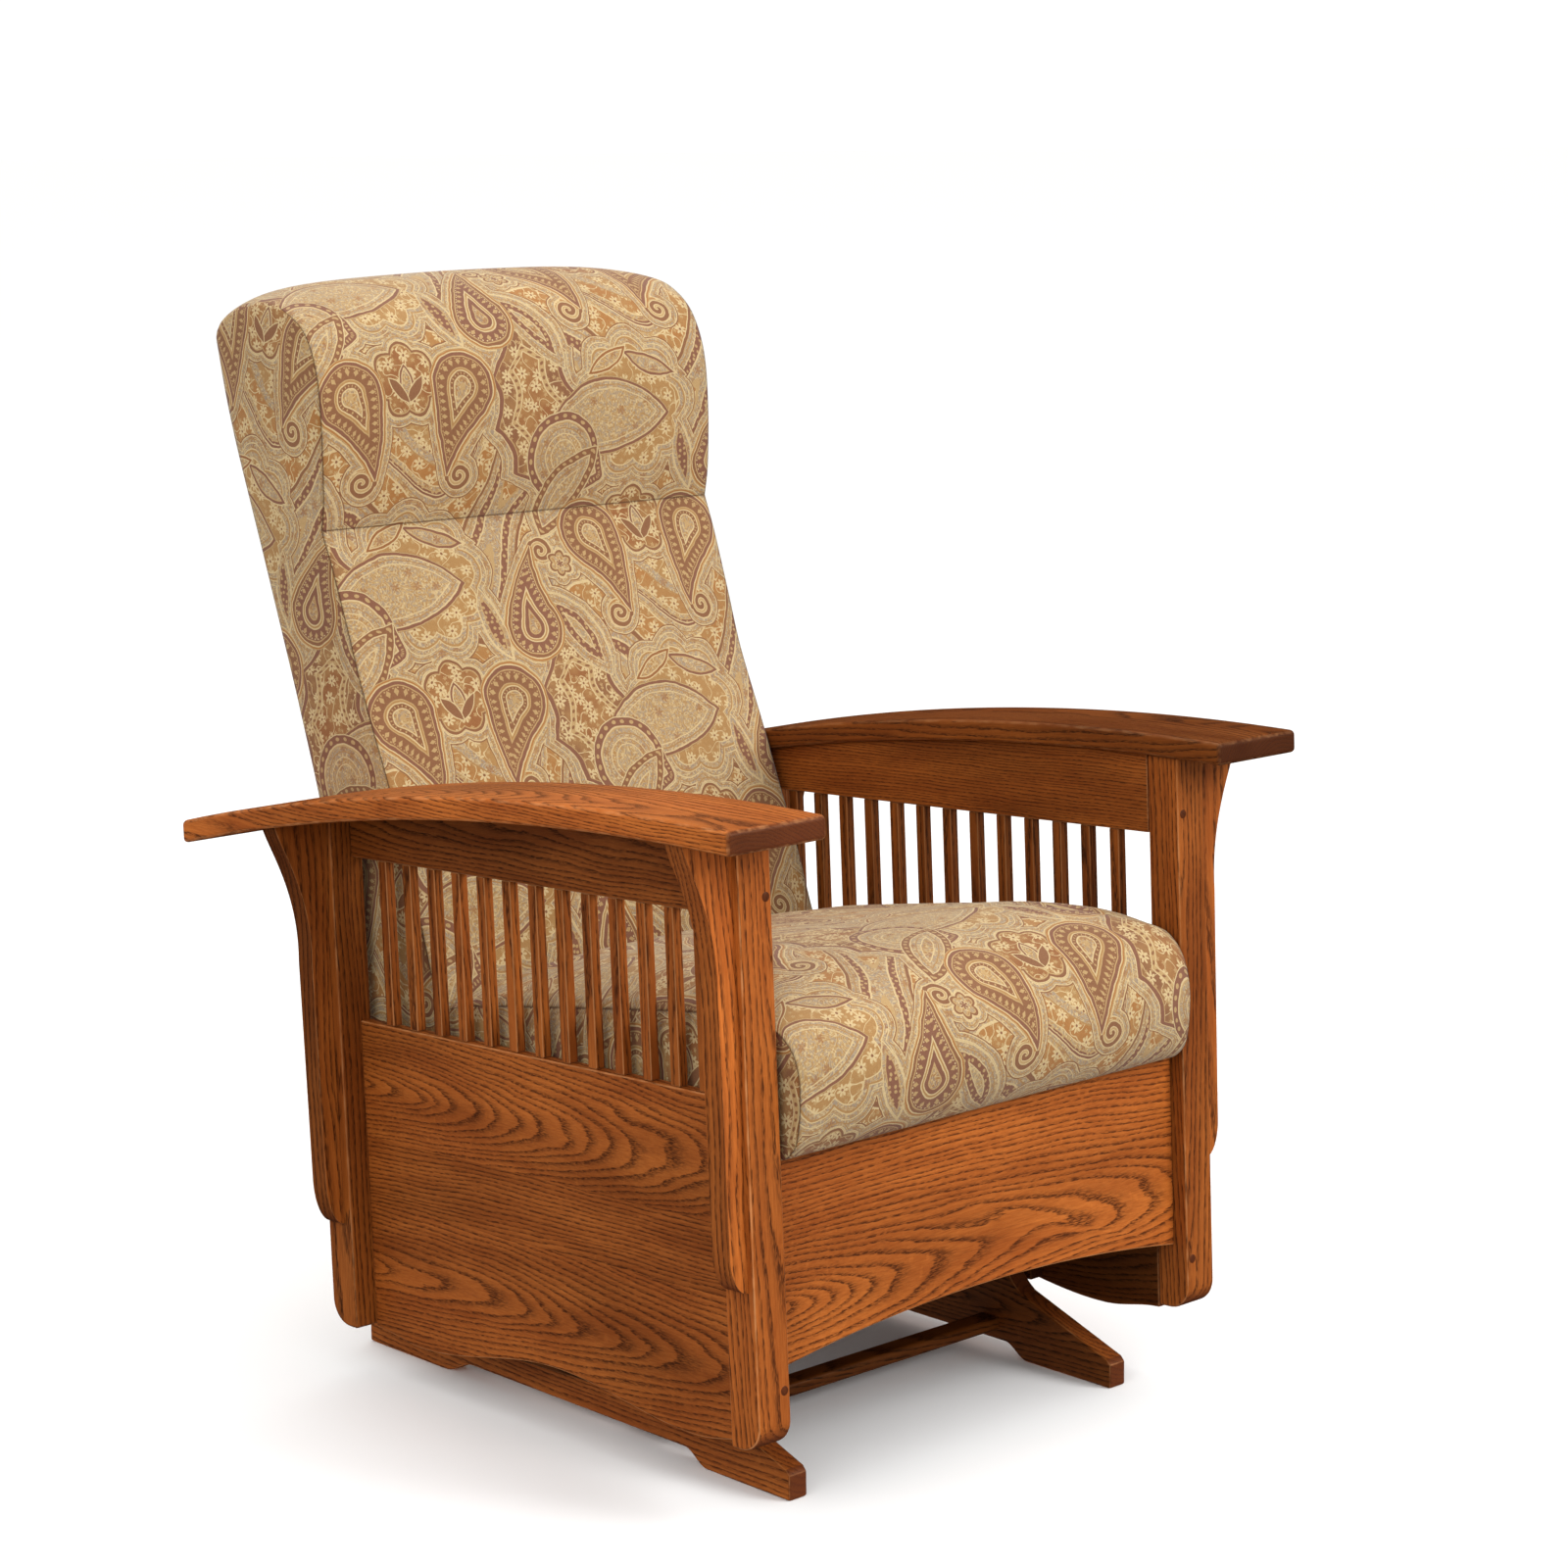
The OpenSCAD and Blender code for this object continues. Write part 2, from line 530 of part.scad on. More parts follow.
back_bottom_rail();
back_springs();
back_pad();
back_panel();
wood_plugs();
frame_screws();
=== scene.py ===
import bpy, bmesh, json, math
import numpy as np
from mathutils import Matrix, Vector

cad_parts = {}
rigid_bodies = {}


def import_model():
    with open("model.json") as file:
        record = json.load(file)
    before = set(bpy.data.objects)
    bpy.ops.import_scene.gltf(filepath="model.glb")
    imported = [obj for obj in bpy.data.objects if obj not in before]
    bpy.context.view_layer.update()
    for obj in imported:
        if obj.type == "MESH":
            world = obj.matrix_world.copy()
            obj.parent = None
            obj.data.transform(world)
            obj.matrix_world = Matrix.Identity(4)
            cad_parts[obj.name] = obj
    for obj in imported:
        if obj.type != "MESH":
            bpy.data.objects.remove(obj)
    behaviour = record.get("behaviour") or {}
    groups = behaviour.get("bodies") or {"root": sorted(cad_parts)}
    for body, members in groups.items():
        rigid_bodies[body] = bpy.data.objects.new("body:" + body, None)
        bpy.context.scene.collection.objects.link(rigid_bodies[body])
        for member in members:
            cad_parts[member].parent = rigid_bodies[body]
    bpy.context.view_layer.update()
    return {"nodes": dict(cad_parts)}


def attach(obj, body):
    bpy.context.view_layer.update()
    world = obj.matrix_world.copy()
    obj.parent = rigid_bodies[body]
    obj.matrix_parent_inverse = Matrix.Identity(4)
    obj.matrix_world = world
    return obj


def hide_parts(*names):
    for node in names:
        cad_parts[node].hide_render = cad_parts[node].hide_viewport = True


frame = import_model()

# ------------------------------------------------------------------ dimensions, mm, as in the CAD
HALF_W, HALF_D, POST_W, POST_D, TOE_R = 310.0, 320.0, 39.5, 39.0, 26.0
RAIL_T, RAIL_Z, PANEL_Z = 15.0, 480.0, 314.0
SLAT_N, SLAT_P, SLAT_W, SLAT_T = 13, 38.9, 12.5, 11.0
ARM_IN, ARM_W, ARM_T, ARM_R, ARM_TOP, ARM_F, ARM_B = 260.0, 116.5, 22.5, 3160.0, 582.0, 383.0, 442.0
CORBEL_L, CORBEL_TOP, CORBEL_MID, CORBEL_T = 410.0, 57.0, 21.5, 23.4
TILT, LIFT, Y_MID = 2.45, 63.6, 96.49686
IN_W, IN_D = HALF_W - POST_W, HALF_D - POST_D
SLAT_X = IN_W + RAIL_T / 2
ARC_Y, ARC_Z = -210.0, ARM_TOP - ARM_R
BASE_OUT, BASE_T, FOOT_F, FOOT_B, TOE_H, FOOT_GAP = 230.6, 23.0, 272.0, 367.0, 28.0, 14.5
BODY_TOP = 88.0 + 115.0 + 20.0
BIN = BASE_OUT - BASE_T
BACK_LEAN, BACK_Y, BACK_Z = 16.5, 284.5, 262.0

MM = Matrix.Scale(0.001, 4)
SEAT = MM @ Matrix.Translation((0, -Y_MID, LIFT)) @ Matrix.Rotation(-math.radians(TILT), 4, "X")
FLOOR = MM @ Matrix.Translation((0, -Y_MID, 0))
FLIP_Y = Matrix.Scale(-1, 4, (0, 1, 0))
BACK = SEAT @ Matrix.Translation((0, BACK_Y, BACK_Z)) @ Matrix.Rotation(-math.radians(BACK_LEAN), 4, "X") @ FLIP_Y


def under_arm(y):
    return ARC_Z + math.sqrt((ARM_R - ARM_T) ** 2 - (y - ARC_Y) ** 2)


def bez(p, t):
    return tuple((1 - t) ** 3 * p[0][i] + 3 * t * (1 - t) ** 2 * p[1][i] + 3 * t * t * (1 - t) * p[2][i] + t ** 3 * p[3][i] for i in (0, 1))


# ------------------------------------------------------------------ node helpers
class Net:
    def __init__(self, tree):
        self.t = tree

    def put(self, kind, **kw):
        n = self.t.nodes.new(kind)
        for k, v in kw.items():
            setattr(n, k, v)
        return n

    def into(self, sock, val):
        if val is None:
            return
        if isinstance(val, bpy.types.NodeSocket):
            self.t.links.new(val, sock)
        else:
            sock.default_value = val

    def m(self, op, a, b=None, c=None, clamp=False):
        n = self.put("ShaderNodeMath", operation=op, use_clamp=clamp)
        for s, v in zip(n.inputs, (a, b, c)):
            self.into(s, v)
        return n.outputs[0]

    def v(self, op, a, b=None, c=None):
        n = self.put("ShaderNodeVectorMath", operation=op)
        if op == "SCALE":
            self.into(n.inputs[0], a)
            self.into(n.inputs["Scale"], b)
        else:
            for s, v in zip(n.inputs, (a, b, c)):
                self.into(s, v)
        return n.outputs["Value"] if op in ("DOT_PRODUCT", "LENGTH", "DISTANCE") else n.outputs["Vector"]

    def xyz(self, x, y, z=0.0):
        n = self.put("ShaderNodeCombineXYZ")
        for s, v in zip(n.inputs, (x, y, z)):
            self.into(s, v)
        return n.outputs[0]

    def split(self, v):
        n = self.put("ShaderNodeSeparateXYZ")
        self.into(n.inputs[0], v)
        return n.outputs

    def noise(self, vec, scale=1.0, detail=2.0, rough=0.5, dist=0.0, out=0):
        n = self.put("ShaderNodeTexNoise")
        self.into(n.inputs["Vector"], vec)
        self.into(n.inputs["Scale"], scale)
        self.into(n.inputs["Detail"], detail)
        self.into(n.inputs["Roughness"], rough)
        self.into(n.inputs["Distortion"], dist)
        return n.outputs[out]

    def ramp(self, fac, stops, mode="LINEAR"):
        n = self.put("ShaderNodeValToRGB")
        r = n.color_ramp
        r.interpolation = mode
        while len(r.elements) > 1:
            r.elements.remove(r.elements[-1])
        for i, (p, c) in enumerate(stops):
            e = r.elements[0] if i == 0 else r.elements.new(p)
            e.position = p
            c = (c, c, c, 1) if isinstance(c, (int, float)) else c
            e.color = tuple(c) if len(c) == 4 else (*c, 1)
        self.into(n.inputs[0], fac)
        return n.outputs[0], n.outputs[1]

    def mix(self, f, a, b, mode="MIX"):
        n = self.put("ShaderNodeMix", data_type="RGBA", blend_type=mode)
        n.clamp_factor = True
        self.into(n.inputs[0], f)
        for s, v in ((n.inputs[6], a), (n.inputs[7], b)):
            self.into(s, (*v, 1) if isinstance(v, tuple) and len(v) == 3 else v)
        return n.outputs[2]

    def attr(self, name, out="Vector"):
        n = self.put("ShaderNodeAttribute", attribute_name=name)
        return n.outputs[out]

    def bump(self, height, strength, distance):
        n = self.put("ShaderNodeBump")
        self.into(n.inputs["Strength"], strength)
        self.into(n.inputs["Distance"], distance)
        self.into(n.inputs["Height"], height)
        return n.outputs[0]


def new_mat(name, rough=0.5, spec=0.5, metal=0.0):
    m = bpy.data.materials.new(name)
    m.use_nodes = True
    b = m.node_tree.nodes["Principled BSDF"]
    b.inputs["Roughness"].default_value = rough
    b.inputs["Specular IOR Level"].default_value = spec
    b.inputs["Metallic"].default_value = metal
    return m, Net(m.node_tree), b


def srgb(r, g, b):
    return tuple(((c / 255 + 0.055) / 1.055) ** 2.4 if c > 10 else c / 255 / 12.92 for c in (r, g, b))


# ------------------------------------------------------------------ wood
def oak(name, light, mid, dark, rough=0.44, coat=0.03, wear_and_highlight=0.62):
    """Stained red oak. The grain attribute holds (along, across, depth) in metres, measured from the pith."""
    mat, n, b = new_mat(name, rough, 0.20)
    b.inputs["Specular Tint"].default_value = (1.0, 0.66, 0.38, 1)
    g = n.attr("grain")
    s = n.split(g)
    low = n.noise(n.v("MULTIPLY", g, (2.6, 9.0, 9.0)), detail=2.0)
    mid_n = n.noise(n.v("MULTIPLY", g, (14.0, 60.0, 60.0)), detail=2.0)
    jag = n.noise(n.v("MULTIPLY", g, (58.0, 520.0, 520.0)), detail=1.0)
    r = n.v("LENGTH", n.xyz(0.0, s[1], s[2]))
    r = n.m("MULTIPLY_ADD", n.m("SUBTRACT", low, 0.5), 0.026, r)
    r = n.m("MULTIPLY_ADD", n.m("SUBTRACT", mid_n, 0.5), 0.0036, r)
    r = n.m("MULTIPLY_ADD", n.m("SUBTRACT", jag, 0.5), 0.0015, r)
    # ring widths vary from year to year
    year = n.noise(n.xyz(n.m("MULTIPLY", r, 55.0), 0.0, 0.0), detail=1.0)
    ph = n.m("MULTIPLY_ADD", year, 1.9, n.m("MULTIPLY", r, 1 / 0.0052))
    f = n.m("FRACT", ph)
    band, _ = n.ramp(f, [(0.0, 0.12), (0.05, 0.90), (0.14, 1.0), (0.30, 0.66), (0.50, 0.24), (0.74, 0.08), (0.94, 0.05), (1.0, 0.12)])
    pore = n.noise(n.v("MULTIPLY", g, (95.0, 900.0, 900.0)), detail=1.0, rough=0.6)
    dash, _ = n.ramp(pore, [(0.42, 0.0), (0.54, 1.0)])
    fine = n.noise(n.v("MULTIPLY", g, (20.0, 620.0, 620.0)), detail=3.0, rough=0.6)
    tick, _ = n.ramp(fine, [(0.53, 0.0), (0.66, 1.0)])
    lines = n.m("MULTIPLY", band, n.m("MULTIPLY_ADD", dash, 0.58, 0.34), clamp=True)
    lines = n.m("MAXIMUM", lines, n.m("MULTIPLY", tick, n.m("MULTIPLY_ADD", band, 0.34, 0.22)), clamp=True)
    blotch = n.noise(n.v("MULTIPLY", g, (4.0, 24.0, 24.0)), detail=3.0, rough=0.55)
    body, _ = n.ramp(blotch, [(0.34, 0.0), (0.66, 1.0)])
    col = n.mix(body, mid, light)
    streak = n.noise(n.v("MULTIPLY", g, (34.0, 560.0, 560.0)), detail=3.0, rough=0.7)
    hair, _ = n.ramp(streak, [(0.40, 0.0), (0.60, 1.0)])
    col = n.mix(n.m("MULTIPLY", hair, 0.55), col, n.mix(1.0, col, (0.70, 0.58, 0.45), "MULTIPLY"))
    # short pale ray flecks lie across the growth rings
    ray = n.noise(n.v("MULTIPLY", g, (75.0, 75.0, 900.0)), detail=1.0)
    fleck, _ = n.ramp(ray, [(0.66, 0.0), (0.74, 1.0)])
    col = n.mix(n.m("MULTIPLY", fleck, 0.14), col, tuple(min(1, c * 1.4) for c in light))
    deep, _ = n.ramp(n.noise(n.v("MULTIPLY", g, (1.9, 7.0, 7.0)), detail=2.0), [(0.33, 0.72), (0.5, 0.93), (0.68, 1.08)])
    col = n.mix(n.m("MULTIPLY", lines, 0.98, clamp=True), col, dark)
    # end grain drinks more stain, and its rings hardly show
    cut, _ = n.ramp(n.attr("cut", "Fac"), [(0.20, 0.0), (0.78, 1.0)])
    col = n.mix(n.m("MULTIPLY", cut, 0.86), col, n.mix(streak, srgb(116, 58, 34), srgb(82, 38, 21)))
    col = n.mix(1.0, col, deep, "MULTIPLY")
    tone = n.attr("tone", "Fac")
    col = n.mix(1.0, col, tone, "MULTIPLY")
    # rubbed arrises show a little paler; the pale line is partly wear and partly a painted highlight where the rounded
    # edges catch the light
    edge = n.attr("edge", "Fac")
    rub = n.noise(n.v("MULTIPLY", g, (40.0, 90.0, 90.0)), detail=2.0)
    rubm, _ = n.ramp(n.m("MULTIPLY", edge, n.m("ADD", rub, 0.35)), [(0.45, 0.0), (0.74, 1.0)])
    col = n.mix(n.m("MULTIPLY", rubm, wear_and_highlight), col, n.mix(1.0, srgb(206, 140, 88), tone, "MULTIPLY"))
    n.into(b.inputs["Base Color"], col)
    n.into(b.inputs["Roughness"], n.m("MULTIPLY_ADD", lines, 0.20, n.m("MULTIPLY_ADD", blotch, 0.10, rough - 0.05)))
    b.inputs["Coat Weight"].default_value = coat
    b.inputs["Coat Roughness"].default_value = 0.30
    n.into(b.inputs["Normal"], n.bump(n.m("SUBTRACT", 1.0, n.m("MULTIPLY", lines, n.m("MULTIPLY_ADD", dash, 0.6, 0.4))), 0.30, 0.0006))
    return mat


OAK = oak("oak_stained", srgb(191, 107, 44), srgb(161, 84, 33), srgb(58, 22, 7))

def steel(name, colour, rough, fine=900.0):
    mat, n, b = new_mat(name, rough, metal=1.0)
    c = n.put("ShaderNodeTexCoord").outputs["Object"]
    a = n.noise(c, 60.0, 3.0)
    f = n.noise(n.v("MULTIPLY", c, (fine, fine * 0.2, fine)), 1.0, 2.0)
    n.into(b.inputs["Base Color"], n.mix(n.m("MULTIPLY_ADD", f, 0.3, n.m("MULTIPLY", a, 0.4)), tuple(x * 0.72 for x in colour), colour))
    n.into(b.inputs["Roughness"], n.m("MULTIPLY_ADD", a, 0.25, rough - 0.1))
    n.into(b.inputs["Normal"], n.bump(f, 0.15, 0.0003))
    return mat


STEEL = steel("zinc_steel", (0.62, 0.62, 0.60), 0.32)
LINK = steel("link_steel", (0.16, 0.16, 0.17), 0.45)
BEAR = steel("bearing_steel", (0.55, 0.56, 0.58), 0.25)
SPRING = steel("spring_steel", (0.30, 0.30, 0.31), 0.38)


def timber():
    mat, n, b = new_mat("frame_timber", 0.62)
    c = n.put("ShaderNodeTexCoord").outputs["Object"]
    w = n.noise(c, 9.0, 2.0)
    g = n.noise(n.v("MULTIPLY", c, (160.0, 14.0, 60.0)), 1.0, 4.0, 0.6, 0.4)
    col = n.mix(g, srgb(214, 178, 128), srgb(178, 136, 88))
    col = n.mix(n.m("MULTIPLY", w, 0.4), col, srgb(196, 150, 100))
    n.into(b.inputs["Base Color"], col)
    n.into(b.inputs["Normal"], n.bump(g, 0.3, 0.0006))
    return mat


def lining():
    mat, n, b = new_mat("black_lining", 0.9)
    c = n.put("ShaderNodeTexCoord").outputs["Object"]
    a = n.noise(c, 420.0, 2.0)
    w = n.noise(c, 30.0, 3.0)
    n.into(b.inputs["Base Color"], n.mix(n.m("MULTIPLY_ADD", w, 0.5, n.m("MULTIPLY", a, 0.4)), (0.010, 0.010, 0.010), (0.045, 0.043, 0.040)))
    n.into(b.inputs["Normal"], n.bump(a, 0.5, 0.0006))
    b.inputs["Sheen Weight"].default_value = 0.15
    return mat


TIMBER, LINING = timber(), lining()


# ------------------------------------------------------------------ boards
SLAT_TONE = 0.74


def board_obj(name, bm, place, grain, seed, nodes, body, pith, slope, bevel=3.0, segs=4, tone=1.0, keep=None, curve=0.0, staves=None, rub=0.80, dense=1.0):
    """Finishes a board drawn in its own millimetres: rounds its arrises, then writes the grain coordinates."""
    lay = bm.verts.layers.float.new("edge")
    bm.normal_update()
    sharp = [e for e in bm.edges if len(e.link_faces) == 2 and e.calc_face_angle(0) > math.radians(26) and (keep is None or keep(e))]
    made = bmesh.ops.bevel(bm, geom=sharp, offset=bevel, offset_type="OFFSET", segments=segs, profile=0.5, affect="EDGES", clamp_overlap=True)
    bm.faces.ensure_lookup_table()
    bev = set(made["faces"])
    inner = {v for f in bev for v in f.verts if all(g in bev for g in v.link_faces)}
    # the middle rows of each rounding carry the pale arris line, part wear and part painted highlight
    for v in inner:
        ridge = segs < 4 or all(w in inner for f in v.link_faces for w in f.verts)
        v[lay] = rub if ridge else rub * 0.62
    if staves is None:
        staves = [(1e9, pith, slope, curve, tone, seed)]
    across = Vector([1.0 if c == grain[1] else 0.0 for c in "xyz"])
    for st in staves[:-1]:
        bmesh.ops.bisect_plane(bm, geom=bm.verts[:] + bm.edges[:] + bm.faces[:], plane_co=across * st[0], plane_no=across)
    me = bpy.data.meshes.new(name)
    bm.to_mesh(me)
    bm.free()
    n = len(me.vertices)
    co = np.empty(n * 3)
    me.vertices.foreach_get("co", co)
    co = co.reshape(-1, 3) * 0.001
    write_grain(me, co, grain, staves, dense)
    me.transform(place)
    if place.determinant() < 0:
        me.flip_normals()
    me.shade_smooth()
    o = bpy.data.objects.new(name, me)
    bpy.context.scene.collection.objects.link(o)
    w = o.modifiers.new("normals", "WEIGHTED_NORMAL")
    w.keep_sharp = True
    w.weight = 80
    me.materials.append(OAK)
    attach(o, body)
    if nodes:
        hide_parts(*nodes)
    return o


def write_grain(me, co, grain, staves, dense=1.0):
    """grain names the axes (along, across, depth). A stave is (upper limit across in mm, pith (across, depth) in metres from the board's
    middle, slope, curve, tone, seed); a glued-up board has several, each cut from its own place in the tree."""
    idx = ["xyz".index(a) for a in grain]
    mid = (co.min(axis=0) + co.max(axis=0)) / 2
    vi = np.empty(len(me.loops), int)
    me.loops.foreach_get("vertex_index", vi)
    per = np.empty(len(me.polygons), int)
    me.polygons.foreach_get("loop_total", per)
    cen = np.empty(len(me.polygons) * 3)
    me.polygons.foreach_get("center", cen)
    cen = cen.reshape(-1, 3)[:, idx[1]]
    which = np.repeat(np.searchsorted([st[0] for st in staves[:-1]], cen), per) if len(staves) > 1 else np.zeros(len(vi), int)
    p = (co - mid)[:, idx][vi]
    g = p.copy()
    nor = np.empty(len(me.polygons) * 3)
    me.polygons.foreach_get("normal", nor)
    cuts = np.repeat(np.abs(nor.reshape(-1, 3)[:, idx[0]]), per)
    tones = np.empty(len(vi))
    for k, (lim, pith, slope, curve, tone, seed) in enumerate(staves):
        q = which == k
        g[q, 0] = p[q, 0] + seed * 3.7
        g[q, 1] = p[q, 1] - pith[0]
        g[q, 2] = p[q, 2] + pith[1] + slope * p[q, 0] + curve * p[q, 0] ** 2
        tones[q] = tone
    a = me.attributes.new("grain", "FLOAT_VECTOR", "CORNER")
    a.data.foreach_set("vector", (g * dense).ravel())
    t = me.attributes.new("tone", "FLOAT", "CORNER")
    t.data.foreach_set("value", tones)
    c = me.attributes.new("cut", "FLOAT", "CORNER")
    c.data.foreach_set("value", cuts)


def face_shade(o, toward, low, high=1.0):
    """Darkens the faces that look toward a direction, as painted shade; high scales the whole board."""
    me = o.data
    nor = np.empty(len(me.polygons) * 3)
    me.polygons.foreach_get("normal", nor)
    per = np.empty(len(me.polygons), int)
    me.polygons.foreach_get("loop_total", per)
    out = np.repeat(np.clip(nor.reshape(-1, 3) @ np.array(toward, float), 0, 1), per)
    t = np.empty(len(out))
    me.attributes["tone"].data.foreach_get("value", t)
    me.attributes["tone"].data.foreach_set("value", t * high * (1.0 - (1.0 - low) * out ** 1.5))


def prism(bm, pts, axis, a0, a1):
    """Closed outline, given in the two other axes, drawn out from a0 to a1."""
    def at(p, h):
        return {"x": (h, p[0], p[1]), "y": (p[0], h, p[1]), "z": (p[0], p[1], h)}[axis]
    lo = [bm.verts.new(at(p, a0)) for p in pts]
    hi = [bm.verts.new(at(p, a1)) for p in pts]
    n = len(pts)
    fs = [bm.faces.new(lo), bm.faces.new(hi)]
    for i in range(n):
        fs.append(bm.faces.new((lo[i], lo[(i + 1) % n], hi[(i + 1) % n], hi[i])))
    bmesh.ops.recalc_face_normals(bm, faces=fs)
    return fs


def board(name, pts, axis, a0, a1, grain, seed, nodes, body="seat", place=SEAT, pith=(0.0, 0.06), slope=0.08, flip=1, **kw):
    bm = bmesh.new()
    prism(bm, pts, axis, a0, a1)
    if flip < 0:
        for v in bm.verts:
            v.co.x = -v.co.x
        bmesh.ops.reverse_faces(bm, faces=bm.faces[:])
    return board_obj(name, bm, place, grain, seed, nodes, body, pith, slope, **kw)


def arc(cx, cy, r, a, b, n):
    return [(cx + r * math.cos(math.radians(a + (b - a) * i / n)), cy + r * math.sin(math.radians(a + (b - a) * i / n))) for i in range(n + 1)]


# posts; their tones are painted light, each set for the light the post gets: 1.10 for the right front post, 0.56 for
# the right rear one under its corbel and arm
for side, s in (("right", -1), ("left", 1)):
    for row, f in (("front", -1), ("rear", 1)):
        ins, out = f * IN_D, f * HALF_D
        toe = [(f * (HALF_D - TOE_R + TOE_R * math.sin(a)), TOE_R - TOE_R * math.cos(a)) for a in (math.radians(90 * i / 12) for i in range(13))]
        pts = [(ins, 0.0)] + toe + [(out, under_arm(out)), (ins, under_arm(ins))]
        seed = {"right": 1, "left": 2}[side] + (0 if f < 0 else 2)
        board(f"{row}_post_{side}_oak", pts, "x", IN_W, HALF_W, "zxy", seed, [f"{row}_post_{side}"], flip=s,
              pith=[(0.020, 0.029), (-0.02, 0.035), (0.03, 0.02), (-0.01, 0.04)][seed - 1], slope=[-0.034, -0.02, 0.05, -0.04][seed - 1], bevel=3.2,
              curve=0.22 if seed == 1 else 0.0, tone=[1.10, 0.80, 0.56, 0.80][seed - 1])

# corbels
def corbel_pts(h, low):
    p = [(0.0, h + 16), (CORBEL_TOP + 0.4, h + 16)]
    c = [(CORBEL_TOP, h), (CORBEL_TOP - 7, h - 25), (CORBEL_MID - 3.5, h - 70), (CORBEL_MID + 0.5, h - 140)]
    p += [bez(c, i / 24) for i in range(25)]
    p += [((CORBEL_MID - 1.5) * math.cos(math.radians(90 * i / 14)), h - CORBEL_L + low - low * math.sin(math.radians(90 * i / 14))) for i in range(15)]
    return [(HALF_W + a, b) for a, b in p]


def corbel(name, y0, h, flip, seed, node, low, tone):
    bm = bmesh.new()
    prism(bm, corbel_pts(h, low), "y", y0, y0 + CORBEL_T)
    ym = y0 + CORBEL_T / 2
    co = Vector((0, ym, under_arm(ym) + 0.5))
    nrm = Vector((0, ym - ARC_Y, co.z - ARC_Z)).normalized()
    bmesh.ops.bisect_plane(bm, geom=bm.verts[:] + bm.edges[:] + bm.faces[:], plane_co=co, plane_no=nrm, clear_outer=True)
    edges = [e for e in bm.edges if e.is_boundary]
    bmesh.ops.contextual_create(bm, geom=edges)
    if flip < 0:
        for v in bm.verts:
            v.co.x = -v.co.x
    bm.normal_update()
    bmesh.ops.recalc_face_normals(bm, faces=bm.faces[:])
    o = board_obj(name, bm, SEAT, "zyx", seed, [node], "seat", (0.062, 0.040), 0.03, bevel=4.5, segs=5)
    # painted shade: the outward sawn curve is darkened as if turned from the light, and tone sets each corbel's
    # brightness for the light it gets, 1.30 for the right front one and 0.70 for the rear ones
    face_shade(o, (flip, 0, 0), 0.58, tone)


F_TOP, B_TOP = under_arm(HALF_D - 20), under_arm(-(HALF_D - 20))
for side, s in (("right", -1), ("left", 1)):
    ft = ARC_Z + math.sqrt((ARM_R - ARM_T) ** 2 - (HALF_D - 20 + ARC_Y) ** 2)
    rt = ARC_Z + math.sqrt((ARM_R - ARM_T) ** 2 - (HALF_D - 20 - ARC_Y) ** 2)
    corbel(f"front_corbel_{side}_oak", -HALF_D + 7.5, ft, s, 5 if s < 0 else 6, f"front_corbel_{side}", 36, 1.30 if s < 0 else 1.0)
    corbel(f"rear_corbel_{side}_oak", HALF_D - 5 - CORBEL_T, rt, s, 7 if s < 0 else 8, f"rear_corbel_{side}", 48, 0.70)

# arms
def arm_edge(r, n=96):
    a0 = math.asin((-ARM_F - ARC_Y) / r)
    a1 = math.asin((ARM_B - ARC_Y) / r)
    return [(ARC_Y + r * math.sin(a0 + (a1 - a0) * i / n), ARC_Z + r * math.cos(a0 + (a1 - a0) * i / n)) for i in range(n + 1)]


for side, s in (("right", -1), ("left", 1)):
    pts = arm_edge(ARM_R) + arm_edge(ARM_R - ARM_T)[::-1]
    # painted shade: the left arm is toned down to 0.46
    o = board(f"arm_{side}_oak", pts, "x", ARM_IN, ARM_IN + ARM_W, "yxz", 9 if s < 0 else 10, [f"arm_{side}"], flip=s,
          pith=(0.035 * s, 0.040), slope=0.055 * s, bevel=5.0, segs=6, tone=1.04 if s < 0 else 0.46, rub=0.62, dense=1.5)
    # painted shade: the end faces are darkened, the right arm's to 0.64 and the left's to 0.95
    for end in (-1, 1):
        face_shade(o, (0, end, 0), 0.64 if s < 0 else 0.95)

# top rails, slats and panels
def wave(y):
    y = abs(y)
    if y < 206:
        return 11 - 22.7 * (1 - math.cos(math.pi * y / 206)) / 2
    return -11.7 + 8.7 * (1 - math.cos(math.pi * (y - 206) / 75)) / 2


